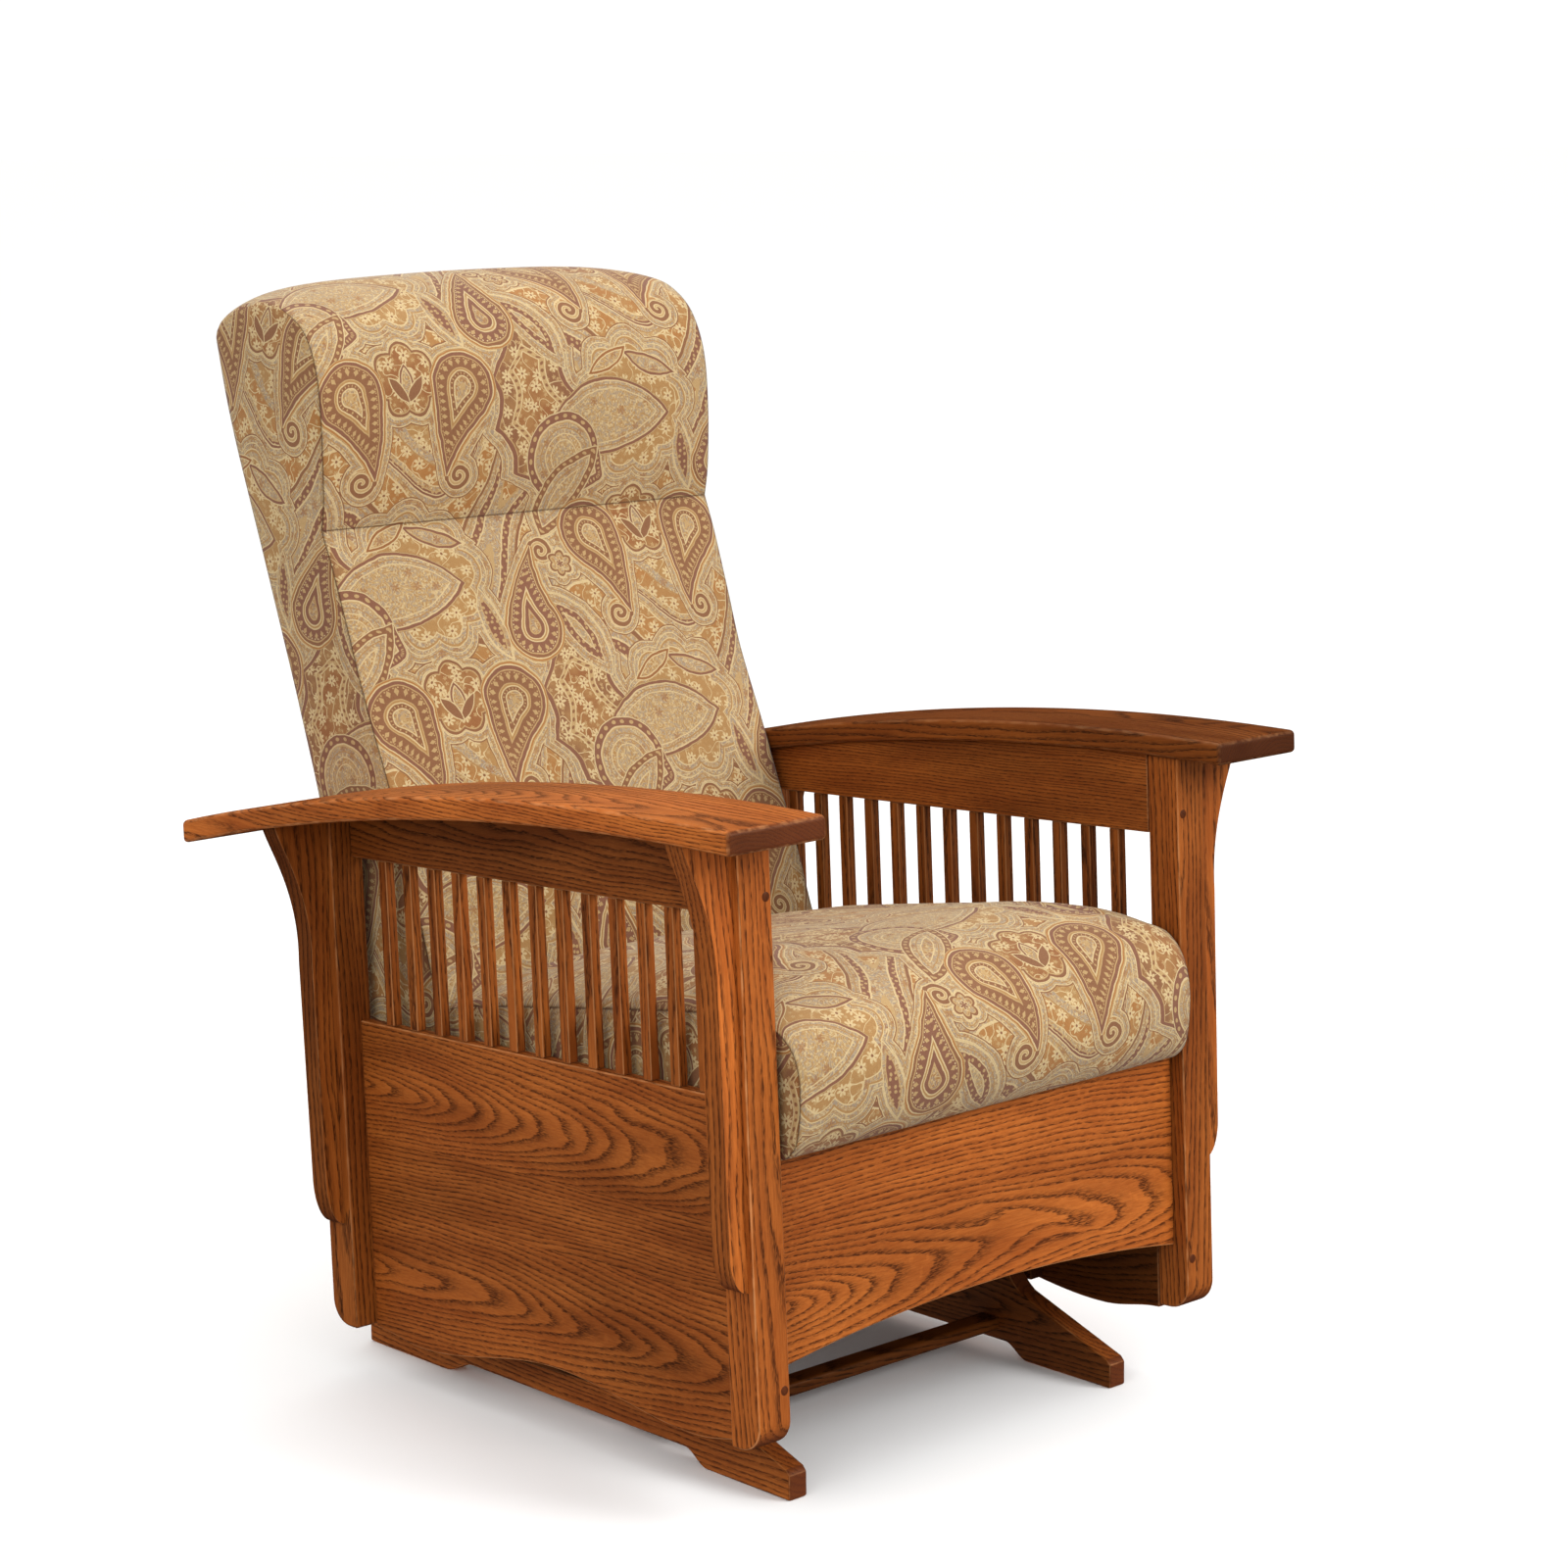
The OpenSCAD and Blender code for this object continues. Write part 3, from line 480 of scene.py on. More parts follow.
for side, s in (("right", -1), ("left", 1)):
    k = 0 if s < 0 else 1
    ys = [-IN_D + 2 * IN_D * i / 72 for i in range(73)]
    pts = [(-IN_D, RAIL_Z), (IN_D, RAIL_Z)] + [(y, under_arm(y)) for y in reversed(ys)]
    board(f"side_top_rail_{side}_oak", pts, "x", IN_W, IN_W + RAIL_T, "yzx", 11 + k, [f"side_top_rail_{side}"], flip=s,
          pith=(0.02, 0.045) if s < 0 else (0.085, 0.032), slope=0.04 if s < 0 else 0.015, bevel=1.6, segs=3, tone=0.58 if s < 0 else 0.62,
          dense=1.4 if s < 0 else 1.7)
    pts = [(y, wave(y)) for y in ys] + [(IN_D, PANEL_Z), (-IN_D, PANEL_Z)]
    o = board(f"side_panel_{side}_oak", pts, "x", IN_W, IN_W + RAIL_T, "yzx", 13 + k, [f"side_panel_{side}"], flip=s,
          bevel=2.4, segs=3, dense=1.22, staves=[(128, (-0.088, 0.046), -0.085, 0.0, 0.81, 13 + k), (196, (-0.16, 0.075), 0.03, 0.0, 0.72, 33 + k), (1e9, (0.098, 0.050), -0.12, 0.0, 0.81, 35 + k)])
    face_shade(o, (-s, 0, 0), 0.30)      # painted shade: the inside faces are darkened to 0.30
    # slats: one piece with an island per slat
    bm = bmesh.new()
    for i in range(SLAT_N):
        y = (i - (SLAT_N - 1) / 2) * SLAT_P
        pts = [(y - SLAT_W / 2, PANEL_Z), (y + SLAT_W / 2, PANEL_Z), (y + SLAT_W / 2, RAIL_Z), (y - SLAT_W / 2, RAIL_Z)]
        prism(bm, pts, "x", SLAT_X - SLAT_T / 2, SLAT_X + SLAT_T / 2)
    if s < 0:
        for v in bm.verts:
            v.co.x = -v.co.x
        bmesh.ops.reverse_faces(bm, faces=bm.faces[:])
    o = board_obj(f"side_slats_{side}_oak", bm, SEAT, "zyx", 15 + k, [f"side_slats_{side}"], "seat", (0.0, 0.03), 0.02, bevel=1.5, segs=3, tone=0.92, rub=1.0)
    # each slat gets its own place in the tree
    me = o.data
    co = np.empty(len(me.vertices) * 3)
    me.vertices.foreach_get("co", co)
    co = co.reshape(-1, 3)
    inv = np.array(SEAT.inverted())
    loc = co @ inv[:3, :3].T + inv[:3, 3]
    vi = np.empty(len(me.loops), int)
    me.loops.foreach_get("vertex_index", vi)
    which = np.rint(loc[:, 1] / SLAT_P + (SLAT_N - 1) / 2)[vi]
    g = np.empty(len(vi) * 3)
    me.attributes["grain"].data.foreach_get("vector", g)
    g = g.reshape(-1, 3)
    g[:, 0] += which * 1.37
    g[:, 1] += np.sin(which * 2.3 + k) * 0.02 - (which - (SLAT_N - 1) / 2) * SLAT_P * 0.001
    g[:, 2] += np.cos(which * 1.9 + k) * 0.012
    me.attributes["grain"].data.foreach_set("vector", g.ravel())
    # painted shade: the left side's slats are toned down by 0.36; the small sine term gives each slat its own tone
    t = SLAT_TONE * (1.0 - 0.36 * k) * (1 + 0.10 * np.sin(which * 3.1 + 2 * k))
    me.attributes["tone"].data.foreach_set("value", t)

# aprons
for row, y0, seed in (("front", -HALF_D + 16, 57), ("rear", HALF_D - 16 - 19, 18)):
    rise, az, at = 21.0, 66.0, 258.0
    r = (IN_W ** 2 + rise ** 2) / (2 * rise)
    xs = [-IN_W + 2 * IN_W * i / 60 for i in range(61)]
    pts = [(x, az + rise - r + math.sqrt(r * r - x * x)) for x in xs] + [(IN_W, at), (-IN_W, at)]
    board(f"{row}_apron_oak", pts, "y", y0, y0 + 19, "xzy", seed, [f"{row}_apron"],
          pith=(-0.040, 0.055) if row == "front" else (0.02, 0.03), slope=0.10, curve=-0.20 if row == "front" else -0.10, bevel=2.6, segs=3, tone=1.0)

# hanging rails; their low tone of 0.26 is painted shade under the seat
for side, s in (("right", -1), ("left", 1)):
    pts = arc(-102, 20 + 32, 20, 180, 90, 6)
    pts = [(-122, 0), (200, 0)] + arc(180, 52, 20, 0, 90, 8) + arc(-102, 52, 20, 90, 180, 8)
    board(f"hanging_rail_{side}_oak", pts, "x", IN_W - 18, IN_W, "yzx", 19 if s < 0 else 20, [f"hanging_rail_{side}"], flip=s, bevel=2.0, segs=3, tone=0.26)

# base
def ease(a, b, t):
    return a + (b - a) * (1 - math.cos(math.pi * t)) / 2


foot = [(-FOOT_F, 0), (-157, 0)]
foot += [(-157 + 31 * i / 12, ease(0, FOOT_GAP, i / 12)) for i in range(1, 13)]
foot += [(196 + 46 * i / 12, ease(FOOT_GAP, 0, i / 12)) for i in range(13)]
foot += [(FOOT_B, 0), (FOOT_B, TOE_H - 4), (FOOT_B - 4, TOE_H), (235, TOE_H + 46.5)]
foot += [bez([(235, TOE_H + 46.5), (195, TOE_H + 60), (190, TOE_H + 80), (186, BODY_TOP - 22)], i / 12) for i in range(1, 13)]
foot += [(164 + 22 * math.cos(math.radians(15 * i)), BODY_TOP - 22 + 22 * math.sin(math.radians(15 * i))) for i in range(1, 7)]
foot += [(-94 - 22 * math.sin(math.radians(15 * i)), BODY_TOP - 22 + 22 * math.cos(math.radians(15 * i))) for i in range(7)]
foot += [bez([(-116, BODY_TOP - 22), (-120, TOE_H + 80), (-124, TOE_H + 60), (-150, TOE_H + 43)], i / 12) for i in range(1, 13)]
foot += [(-FOOT_F + 5, TOE_H + 1.8), (-FOOT_F, TOE_H - 3)]
for side, s in (("right", -1), ("left", 1)):
    o = board(f"base_side_{side}_oak", foot, "x", BASE_OUT - BASE_T, BASE_OUT, "yzx", 21 if s < 0 else 22, [f"base_side_{side}"], body="base", place=FLOOR,
          flip=s, pith=(-0.06, 0.015), slope=0.09, bevel=3.0, segs=4, tone=0.76, rub=0.66)
    # painted shade: the inner faces, under the chair, are darkened to 0.45
    face_shade(o, (-s, 0, 0), 0.45)
# painted shade: the stretchers, low under the chair, are toned down to 0.34
for row, y, seed in (("front", -119, 23), ("rear", 230, 24)):
    pts = [(y, 25), (y + 26, 25), (y + 26, 39), (y, 39)]
    board(f"base_{row}_stretcher_oak", pts, "x", -BIN, BIN, "xyz", seed, [f"base_{row}_stretcher"], body="base", place=FLOOR, bevel=4.0, segs=5, tone=0.34,
          keep=lambda e: abs(e.verts[0].co.x - e.verts[1].co.x) > 1)
for row, y, seed in (("front", -36, 25), ("rear", 86, 26)):
    pts = [(y, BODY_TOP - 68), (y + 19, BODY_TOP - 68), (y + 19, BODY_TOP - 8), (y, BODY_TOP - 8)]
    board(f"base_{row}_brace_oak", pts, "x", -BIN, BIN, "xzy", seed, [f"base_{row}_brace"], body="base", place=FLOOR, bevel=2.0, segs=3, tone=0.8,
          keep=lambda e: abs(e.verts[0].co.x - e.verts[1].co.x) > 1)


# plugs: slightly crowned end-grain discs over the screws
def plug(bm, x, z, f):
    R, rings = 4.75, [(0.0, 0.55), (1.6, 0.50), (3.2, 0.36), (4.3, 0.12), (4.75, -0.25), (4.75, -6.0)]
    prev = None
    for r, h in rings:
        y = f * (HALF_D + h)
        ring = [bm.verts.new((x, y, z))] if r == 0 else [bm.verts.new((x + r * math.cos(2 * math.pi * i / 32), y, z + r * math.sin(2 * math.pi * i / 32))) for i in range(32)]
        if prev is not None:
            for i in range(32):
                j = (i + 1) % 32
                if len(prev) == 1:
                    bm.faces.new((prev[0], ring[i], ring[j]))
                else:
                    bm.faces.new((prev[i], ring[i], ring[j], prev[j]))
        prev = ring
    bm.faces.new(prev)


bm = bmesh.new()
for s in (-1, 1):
    for z in (53, 501):
        for f in (-1, 1):
            plug(bm, s * SLAT_X, z, f)
bmesh.ops.recalc_face_normals(bm, faces=bm.faces[:])
me = bpy.data.meshes.new("wood_plugs_oak")
bm.to_mesh(me)
bm.free()
co = np.empty(len(me.vertices) * 3)
me.vertices.foreach_get("co", co)
co = co.reshape(-1, 3) * 0.001
write_grain(me, co, "yxz", [(1e9, (0.0, 0.02), 0.0, 0.0, 0.60, 31)])
me.attributes.new("edge", "FLOAT", "POINT")
me.transform(SEAT)
me.shade_smooth()
me.materials.append(OAK)
plugs = bpy.data.objects.new("wood_plugs_oak", me)
bpy.context.scene.collection.objects.link(plugs)
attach(plugs, "seat")
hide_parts("wood_plugs")

# ------------------------------------------------------------------ carried-over CAD nodes
def dress(node, mat):
    o = frame["nodes"][node]
    if not o.material_slots:
        o.data.materials.append(mat)
    for sl in o.material_slots:
        sl.material = mat


for k in frame["nodes"]:
    if k.startswith(("upper_pivot", "lower_pivot", "base_screws", "frame_screws")):
        dress(k, STEEL)
    elif k.startswith("swing_link"):
        dress(k, LINK)
    elif k.startswith("link_bearings"):
        dress(k, BEAR)
    elif k in ("seat_springs", "back_springs"):
        dress(k, SPRING)
    elif k.startswith(("seat_rail", "back_stile", "back_top_rail", "back_middle_rail", "back_bottom_rail")):
        dress(k, TIMBER)
    elif k in ("deck_cloth", "dust_cover"):
        dress(k, LINING)

# ------------------------------------------------------------------ tapestry fabric
CREAM, STRAW, GOLD, AMBER = srgb(226, 204, 156), srgb(202, 171, 120), srgb(186, 146, 92), srgb(184, 131, 74)
BROWN, MAUVE, LILAC, RUST = srgb(151, 106, 73), srgb(147, 101, 78), srgb(174, 157, 136), srgb(163, 110, 66)
PALE = srgb(193, 165, 118)
SPECK, PLAIN, STIPPLE, FLOWER = 0.5, 1.0, 0.75, 0.25   # alpha classes in the ramps
LAT_W, LAT_S, LAT_H = 275.0, 161.0, 322.0              # repeat of the cloth: (W, S) and (0, H), mm


class Motifs:
    """Draws motifs one over another on a skewed repeat. Every distance is in millimetres of cloth."""

    def __init__(self, n, p):
        self.n = n
        x, y, _ = n.split(p)
        self.p = n.xyz(x, n.m("MULTIPLY_ADD", x, -LAT_S / LAT_W, y))
        self.col, self.cls, self.near = None, None, None

    def local(self, at, turn, flip=1):
        n, k = self.n, LAT_S / LAT_W
        c = (at[0], at[1] - k * at[0], 0)
        q = n.put("ShaderNodeVectorMath", operation="WRAP")
        n.into(q.inputs[0], n.v("SUBTRACT", self.p, c))
        q.inputs[1].default_value = (LAT_W / 2, LAT_H / 2, 0)
        q.inputs[2].default_value = (-LAT_W / 2, -LAT_H / 2, 0)
        q = q.outputs[0]
        cs, sn = math.cos(math.radians(turn)), math.sin(math.radians(turn))
        X = n.v("DOT_PRODUCT", q, (flip * (cs + k * sn), flip * sn, 0))
        Y = n.v("DOT_PRODUCT", q, (-sn + k * cs, cs, 0))
        return X, Y

    def lay(self, d, bands, span, row=None, beads=()):
        """bands go from the rim inwards: (depth in mm where it starts, colour, class); d is negative inside. row is the distance
        along the rim, and beads are (depth, spacing, size, colour, pointed) rows of marks that follow it."""
        n = self.n
        self.near = d if self.near is None else n.m("MINIMUM", self.near, d)
        t = n.m("MULTIPLY", d, -1.0 / span)
        stops = [(0.0, (0, 0, 0, 0))] + [(min(0.999, max(0.002, b[0] / span)), (*b[1], b[2])) for b in bands]
        c, a = n.ramp(t, stops, "CONSTANT")
        for depth, gap, size, colour, pointed in beads:
            f = n.m("SUBTRACT", n.m("FRACT", n.m("MULTIPLY", row, 1.0 / gap)), 0.5)
            e = n.m("ADD", d, depth)
            if pointed:
                m = n.m("MULTIPLY_ADD", n.m("ABSOLUTE", f), gap * 1.5, n.m("ABSOLUTE", n.m("SUBTRACT", e, size * 0.2)))
                m = n.m("LESS_THAN", m, size)
            else:
                f = n.m("MULTIPLY", f, gap)
                m = n.m("LESS_THAN", n.m("MULTIPLY_ADD", f, f, n.m("MULTIPLY", e, e)), size * size)
            c = n.mix(m, c, colour)
        on = n.m("GREATER_THAN", t, 0.002)
        self.col = n.mix(on, self.col, c)
        self.cls = n.m("ADD", n.m("MULTIPLY", self.cls, n.m("SUBTRACT", 1.0, on)), n.m("MULTIPLY", a, on))

    def teardrop(self, at, turn, r, h, bend, bands, span, flip=1, tip=1.5, beads=(), coil=None):
        n = self.n
        X, Y = self.local(at, turn, flip)
        up = n.m("MAXIMUM", Y, 0.0)
        X = n.m("MULTIPLY_ADD", n.m("MULTIPLY", up, up), -bend, X)
        px = n.m("ABSOLUTE", X)
        b = (r - tip) / h
        a = math.sqrt(1 - b * b)
        cl = n.put("ShaderNodeClamp")
        n.into(cl.inputs[0], n.m("MULTIPLY_ADD", px, -b / a, Y))
        cl.inputs[1].default_value, cl.inputs[2].default_value = 0.0, h
        s = cl.outputs[0]
        dy = n.m("SUBTRACT", Y, s)
        ln = n.m("SQRT", n.m("MULTIPLY_ADD", dy, dy, n.m("MULTIPLY", px, px)))
        row = n.m("MULTIPLY_ADD", n.m("ARCTAN2", px, n.m("MULTIPLY", dy, -1.0)), r * 0.62, n.m("MULTIPLY", s, 1.15)) if beads else None
        self.lay(n.m("SUBTRACT", n.m("MULTIPLY_ADD", s, b, ln), r), bands, span, row, beads)
        if coil:
            # the tail runs on into a coil
            R, pitch, grounds = coil
            t = math.radians(turn)
            ax, ay = (flip * math.cos(t), flip * math.sin(t)), (-math.sin(t), math.cos(t))
            ex = at[0] + bend * h * h * ax[0] + h * ay[0]
            ey = at[1] + bend * h * h * ax[1] + h * ay[1]
            hx, hy = ay[0] + 2 * bend * h * ax[0], ay[1] + 2 * bend * h * ax[1]
            k = math.hypot(hx, hy)
            hx, hy = hx / k, hy / k
            side = -1 if flip * bend > 0 else 1     # the coil lies on the side that the tail bends to
            lx, ly = -hy, hx
            off = side * (R - pitch / 2)
            self.scroll((ex + off * lx, ey + off * ly), math.degrees(math.atan2(hx, -hy)), R, pitch, side, grounds)

    def leaf(self, at, turn, hl, hw, bands, span, bend=0.0, wave=0.0, waves=0, beads=()):
        n = self.n
        X, Y = self.local(at, turn)
        if bend:
            X = n.m("MULTIPLY_ADD", n.m("MULTIPLY", Y, Y), -bend, X)
        R = (hl * hl + hw * hw) / (2 * hw)
        px = n.m("ADD", n.m("ABSOLUTE", X), R - hw)
        d = n.m("SUBTRACT", n.m("SQRT", n.m("MULTIPLY_ADD", Y, Y, n.m("MULTIPLY", px, px))), R)
        if wave:
            d = n.m("MULTIPLY_ADD", n.m("ABSOLUTE", n.m("SINE", n.m("MULTIPLY", Y, math.pi * waves / (2 * hl)))), wave, d)
        self.lay(d, bands, span, Y, beads)

    def rosette(self, at, turn, r, lobes, depth, bands, span, squash=1.0, beads=()):
        n = self.n
        X, Y = self.local(at, turn)
        Y = n.m("MULTIPLY", Y, squash)
        ang = n.m("ARCTAN2", Y, X)
        pet = n.m("ABSOLUTE", n.m("COSINE", n.m("MULTIPLY", ang, lobes / 2)))
        ln = n.m("SQRT", n.m("MULTIPLY_ADD", X, X, n.m("MULTIPLY", Y, Y)))
        d = n.m("SUBTRACT", ln, n.m("MULTIPLY_ADD", pet, depth, r - depth))
        self.lay(d, bands, span, n.m("MULTIPLY", ang, r * 0.8) if beads else None, beads)

    def scroll(self, at, turn, R, pitch, flip, grounds):
        """A coiled tail. It comes in between the two outer turns, at the left, on its way down."""
        n = self.n
        X, Y = self.local(at, turn, flip)
        t = n.m("MULTIPLY_ADD", n.m("ARCTAN2", Y, X), 1 / (2 * math.pi), 0.5)
        ln = n.m("SQRT", n.m("MULTIPLY_ADD", X, X, n.m("MULTIPLY", Y, Y)))
        e = n.m("MULTIPLY_ADD", n.m("MULTIPLY_ADD", ln, -1.0, R), 1 / pitch, n.m("MULTIPLY", t, -1.0))
        f = n.m("FRACT", e)
        c, _ = n.ramp(f, [(0.0, STRAW), (0.14, CREAM), (0.26, grounds), (0.78, CREAM), (0.90, STRAW)], "CONSTANT")
        on = n.m("GREATER_THAN", e, 0.0)
        self.near = n.m("MINIMUM", self.near, n.m("SUBTRACT", ln, R - pitch * 0.5))
        self.col = n.mix(on, self.col, c)
        self.cls = n.m("MAXIMUM", n.m("MULTIPLY", self.cls, n.m("SUBTRACT", 1.0, on)), on)


def flowers(n, p, scale, petals, size, seed):
    """Small scattered daisies: returns (petal mask, centre mask)."""
    v = n.put("ShaderNodeTexVoronoi", voronoi_dimensions="2D", feature="F1")
    n.into(v.inputs["Vector"], n.v("ADD", p, (seed * 17.0, seed * 29.0, 0)))
    n.into(v.inputs["Scale"], scale)
    n.into(v.inputs["Randomness"], 0.72)
    # Position comes back in the input's own units
    d = n.v("SUBTRACT", n.v("ADD", p, (seed * 17.0, seed * 29.0, 0)), v.outputs["Position"])
    x, y, _ = n.split(d)
    ang = n.m("ARCTAN2", y, x)
    ln = n.v("LENGTH", d)
    turn = n.m("MULTIPLY", n.split(v.outputs["Color"])[0], 6.28)
    pet = n.m("ABSOLUTE", n.m("COSINE", n.m("MULTIPLY_ADD", ang, petals / 2, turn)))
    lim = n.m("MULTIPLY_ADD", pet, size * 0.66, size * 0.28)
    return n.m("LESS_THAN", ln, lim), n.m("LESS_THAN", ln, size * 0.20)


def tapestry(n, p):
    """Colour of the cloth at p, in millimetres along and across it."""
    # small wander so that no line is ruled
    wob = n.noise(n.v("SCALE", p, 0.045), detail=2.0, out=1)
    p = n.v("ADD", p, n.v("SCALE", n.v("SUBTRACT", wob, (0.5, 0.5, 0.5)), 5.0))
    thread = n.put("ShaderNodeTexWhiteNoise", noise_dimensions="2D")
    n.into(thread.inputs[0], n.v("SNAP", p, (0.95, 0.95, 1.0)))
    th = thread.outputs[0]
    thc = n.split(thread.outputs[1])
    M = Motifs(n, p)
    # sweeping bands: contours of a field that repeats with the cloth
    gx, gy, _ = n.split(M.p)
    u = n.m("MULTIPLY", gx, 2 * math.pi / LAT_W)
    v = n.m("MULTIPLY", gy, 2 * math.pi / LAT_H)
    F = n.m("ADD", n.m("SINE", n.m("ADD", v, n.m("MULTIPLY_ADD", n.m("SINE", n.m("ADD", u, 0.6)), 1.15, 0.9))),
            n.m("MULTIPLY", n.m("COSINE", n.m("ADD", n.m("MULTIPLY", u, 1.0), n.m("MULTIPLY", n.m("SINE", v), 0.7))), 0.62))
    F = n.m("MULTIPLY_ADD", n.m("SINE", n.m("ADD", n.m("MULTIPLY", u, 2.0), v)), 0.16, F)
    M.col, M.cls = n.ramp(n.m("MULTIPLY_ADD", F, 0.30, 0.5), [
        (0.0, (*AMBER, FLOWER)), (0.125, (*STRAW, 1)), (0.135, (*LILAC, STIPPLE)), (0.17, (*CREAM, 1)), (0.182, (*MAUVE, SPECK)), (0.24, (*CREAM, 1)), (0.252, (*LILAC, STIPPLE)), (0.285, (*GOLD, 1)),
        (0.293, (*LILAC, STIPPLE)), (0.325, (*STRAW, 1)), (0.335, (*BROWN, 1)), (0.375, (*CREAM, 1)), (0.387, (*AMBER, FLOWER)),
        (0.60, (*AMBER, FLOWER)), (0.66, (*CREAM, 1)), (0.672, (*STRAW, STIPPLE)), (0.70, (*GOLD, 1)), (0.709, (*LILAC, STIPPLE)), (0.74, (*CREAM, 1)), (0.752, (*MAUVE, 1)), (0.768, (*CREAM, 1)), (0.774, (*MAUVE, SPECK)), (0.79, (*STRAW, 1)),
        (0.80, (*PALE, STIPPLE)), (0.825, (*CREAM, 1)), (0.835, (*AMBER, FLOWER)), (0.93, (*GOLD, 1)), (0.94, (*LILAC, STIPPLE)), (0.975, (*GOLD, FLOWER))], "CONSTANT")
    # tall flame-edged leaf, part hidden
    M.leaf((152, 6), 14, 124, 62, [(0, LILAC, STIPPLE), (4.5, CREAM, 1), (5.8, MAUVE, 1), (11, STRAW, 1), (12.3, BROWN, FLOWER), (27, CREAM, 1), (28.4, STRAW, 1), (33.6, CREAM, 1), (35, RUST, FLOWER)],
           70, bend=0.0018, wave=11.0, waves=5, beads=[(31.0, 7.0, 1.7, BROWN, 0)])
    # clouded field and the pale spade that lies on it
    M.rosette((-2, 168), 8, 74, 9, 11, [(0, LILAC, STIPPLE), (4, CREAM, 1), (5.3, GOLD, 1), (7.4, LILAC, STIPPLE), (12.4, CREAM, 1), (13.7, GOLD, FLOWER)], 60, 0.95)
    M.leaf((-40, 160), 98, 84, 40, [(0, STRAW, 1), (1.4, MAUVE, 1), (4.2, CREAM, 1), (5.4, LILAC, STIPPLE), (8.4, GOLD, 1), (9.5, LILAC, STIPPLE), (12.6, CREAM, 1), (13.8, PALE, STIPPLE)], 60, bend=-0.0016)
    # ringed pear with its collar
    M.teardrop((-92, 122), 250, 46, 46, 0.0020, [(0, CREAM, 1), (1.3, MAUVE, 1), (9.5, CREAM, 1), (11, STRAW, 1), (12.4, LILAC, STIPPLE), (17, GOLD, 1), (18.2, LILAC, STIPPLE), (22.5, CREAM, 1), (23.8, GOLD, STIPPLE), (29, CREAM, 1), (30.2, PALE, STIPPLE)],
               50, tip=10, beads=[(5.4, 8.0, 1.9, STRAW, 0)])
    # almond leaf in stitched rings
    M.leaf((184, -74), -40, 60, 24, [(0, CREAM, 1), (1.3, BROWN, 1), (8.0, CREAM, 1), (9.3, LILAC, STIPPLE), (13, GOLD, 1), (14.2, LILAC, STIPPLE), (17.6, CREAM, 1), (18.8, GOLD, STIPPLE), (22, PALE, STIPPLE)], 40,
           bend=0.0014, beads=[(4.7, 8.0, 1.8, STRAW, 0)])
    M.leaf((-112, -62), 34, 58, 22, [(0, CREAM, 1), (1.3, LILAC, STIPPLE), (5.0, GOLD, 1), (6.2, LILAC, STIPPLE), (9.4, CREAM, 1), (10.6, MAUVE, SPECK), (17, CREAM, 1), (18.2, PALE, STIPPLE)], 30, bend=-0.0016)
    # dome with a small palmette, between the heads of the pair
    M.rosette((0, 48), 90, 40, 7, 7, [(0, CREAM, 1), (1.4, BROWN, 1), (4.2, STRAW, 1), (5.6, RUST, FLOWER)], 40)
    M.leaf((0, 44), 0, 22, 9, [(0, CREAM, 1), (1.2, MAUVE, 1), (3.2, CREAM, 1), (4.4, GOLD, STIPPLE)], 12)
    M.leaf((9, 38), -38, 18, 6, [(0, CREAM, 1), (1.2, BROWN, 1)], 12)
    M.leaf((-9, 38), 38, 18, 6, [(0, CREAM, 1), (1.2, BROWN, 1)], 12)
    # pair of drops leaning apart, with coiled tails
    drop = [(0, STRAW, 1), (1.0, AMBER, 1), (2.6, CREAM, 1), (4.0, MAUVE, 1), (7.4, STRAW, 1), (8.7, BROWN, 1), (20.5, STRAW, 1), (21.7, GOLD, 1), (23.4, CREAM, 1), (24.8, BROWN, 1), (29.0, CREAM, 1), (30.4, GOLD, STIPPLE), (36, STRAW, 1)]
    marks = [(14.6, 9.0, 3.9, STRAW, 1), (10.4, 4.5, 0.8, STRAW, 0), (27.0, 8.0, 1.2, STRAW, 0)]
    for f in (1, -1):
        M.teardrop((-64 * f, 38), 180 + 31.0 * f, 39, 86, 0.0034, drop, 44, f, 4.2, marks, (19.0, 8.6, BROWN))
    # lone upright drop
    drop2 = [(0, STRAW, 1), (1.0, AMBER, 1), (2.6, CREAM, 1), (4.0, BROWN, 1), (7.0, STRAW, 1), (8.3, MAUVE, 1), (19.5, CREAM, 1), (21, GOLD, 1), (22.8, CREAM, 1), (24.2, MAUVE, 1), (28.4, STRAW, 1), (29.8, RUST, STIPPLE)]
    M.teardrop((110, 108), 9, 36, 80, 0.0055, drop2, 44, 1, 4.2, [(13.9, 9.0, 3.7, STRAW, 1), (9.9, 4.5, 0.8, CREAM, 0)], (18.0, 8.4, BROWN))
    # small medallion in the gap beside the coil
    M.rosette((163, 170), 20, 16, 6, 4, [(0, CREAM, 1), (1.3, BROWN, 1), (3.8, STRAW, 1), (5.0, GOLD, STIPPLE), (10, CREAM, 1), (11.2, MAUVE, 1)], 20)
    # slim leaves
    M.leaf((62, 116), 14, 40, 12, [(0, CREAM, 1), (1.3, LILAC, STIPPLE), (4.6, STRAW, 1), (5.8, MAUVE, SPECK)], 14, bend=0.002)
    M.leaf((22, -112), 70, 36, 11, [(0, CREAM, 1), (1.3, MAUVE, 1), (3.8, STRAW, 1), (5.2, LILAC, STIPPLE)], 14, bend=0.003)
    M.leaf((-30, -106), -62, 32, 10, [(0, CREAM, 1), (1.3, RUST, 1), (3.6, CREAM, 1), (4.8, GOLD, STIPPLE)], 14)
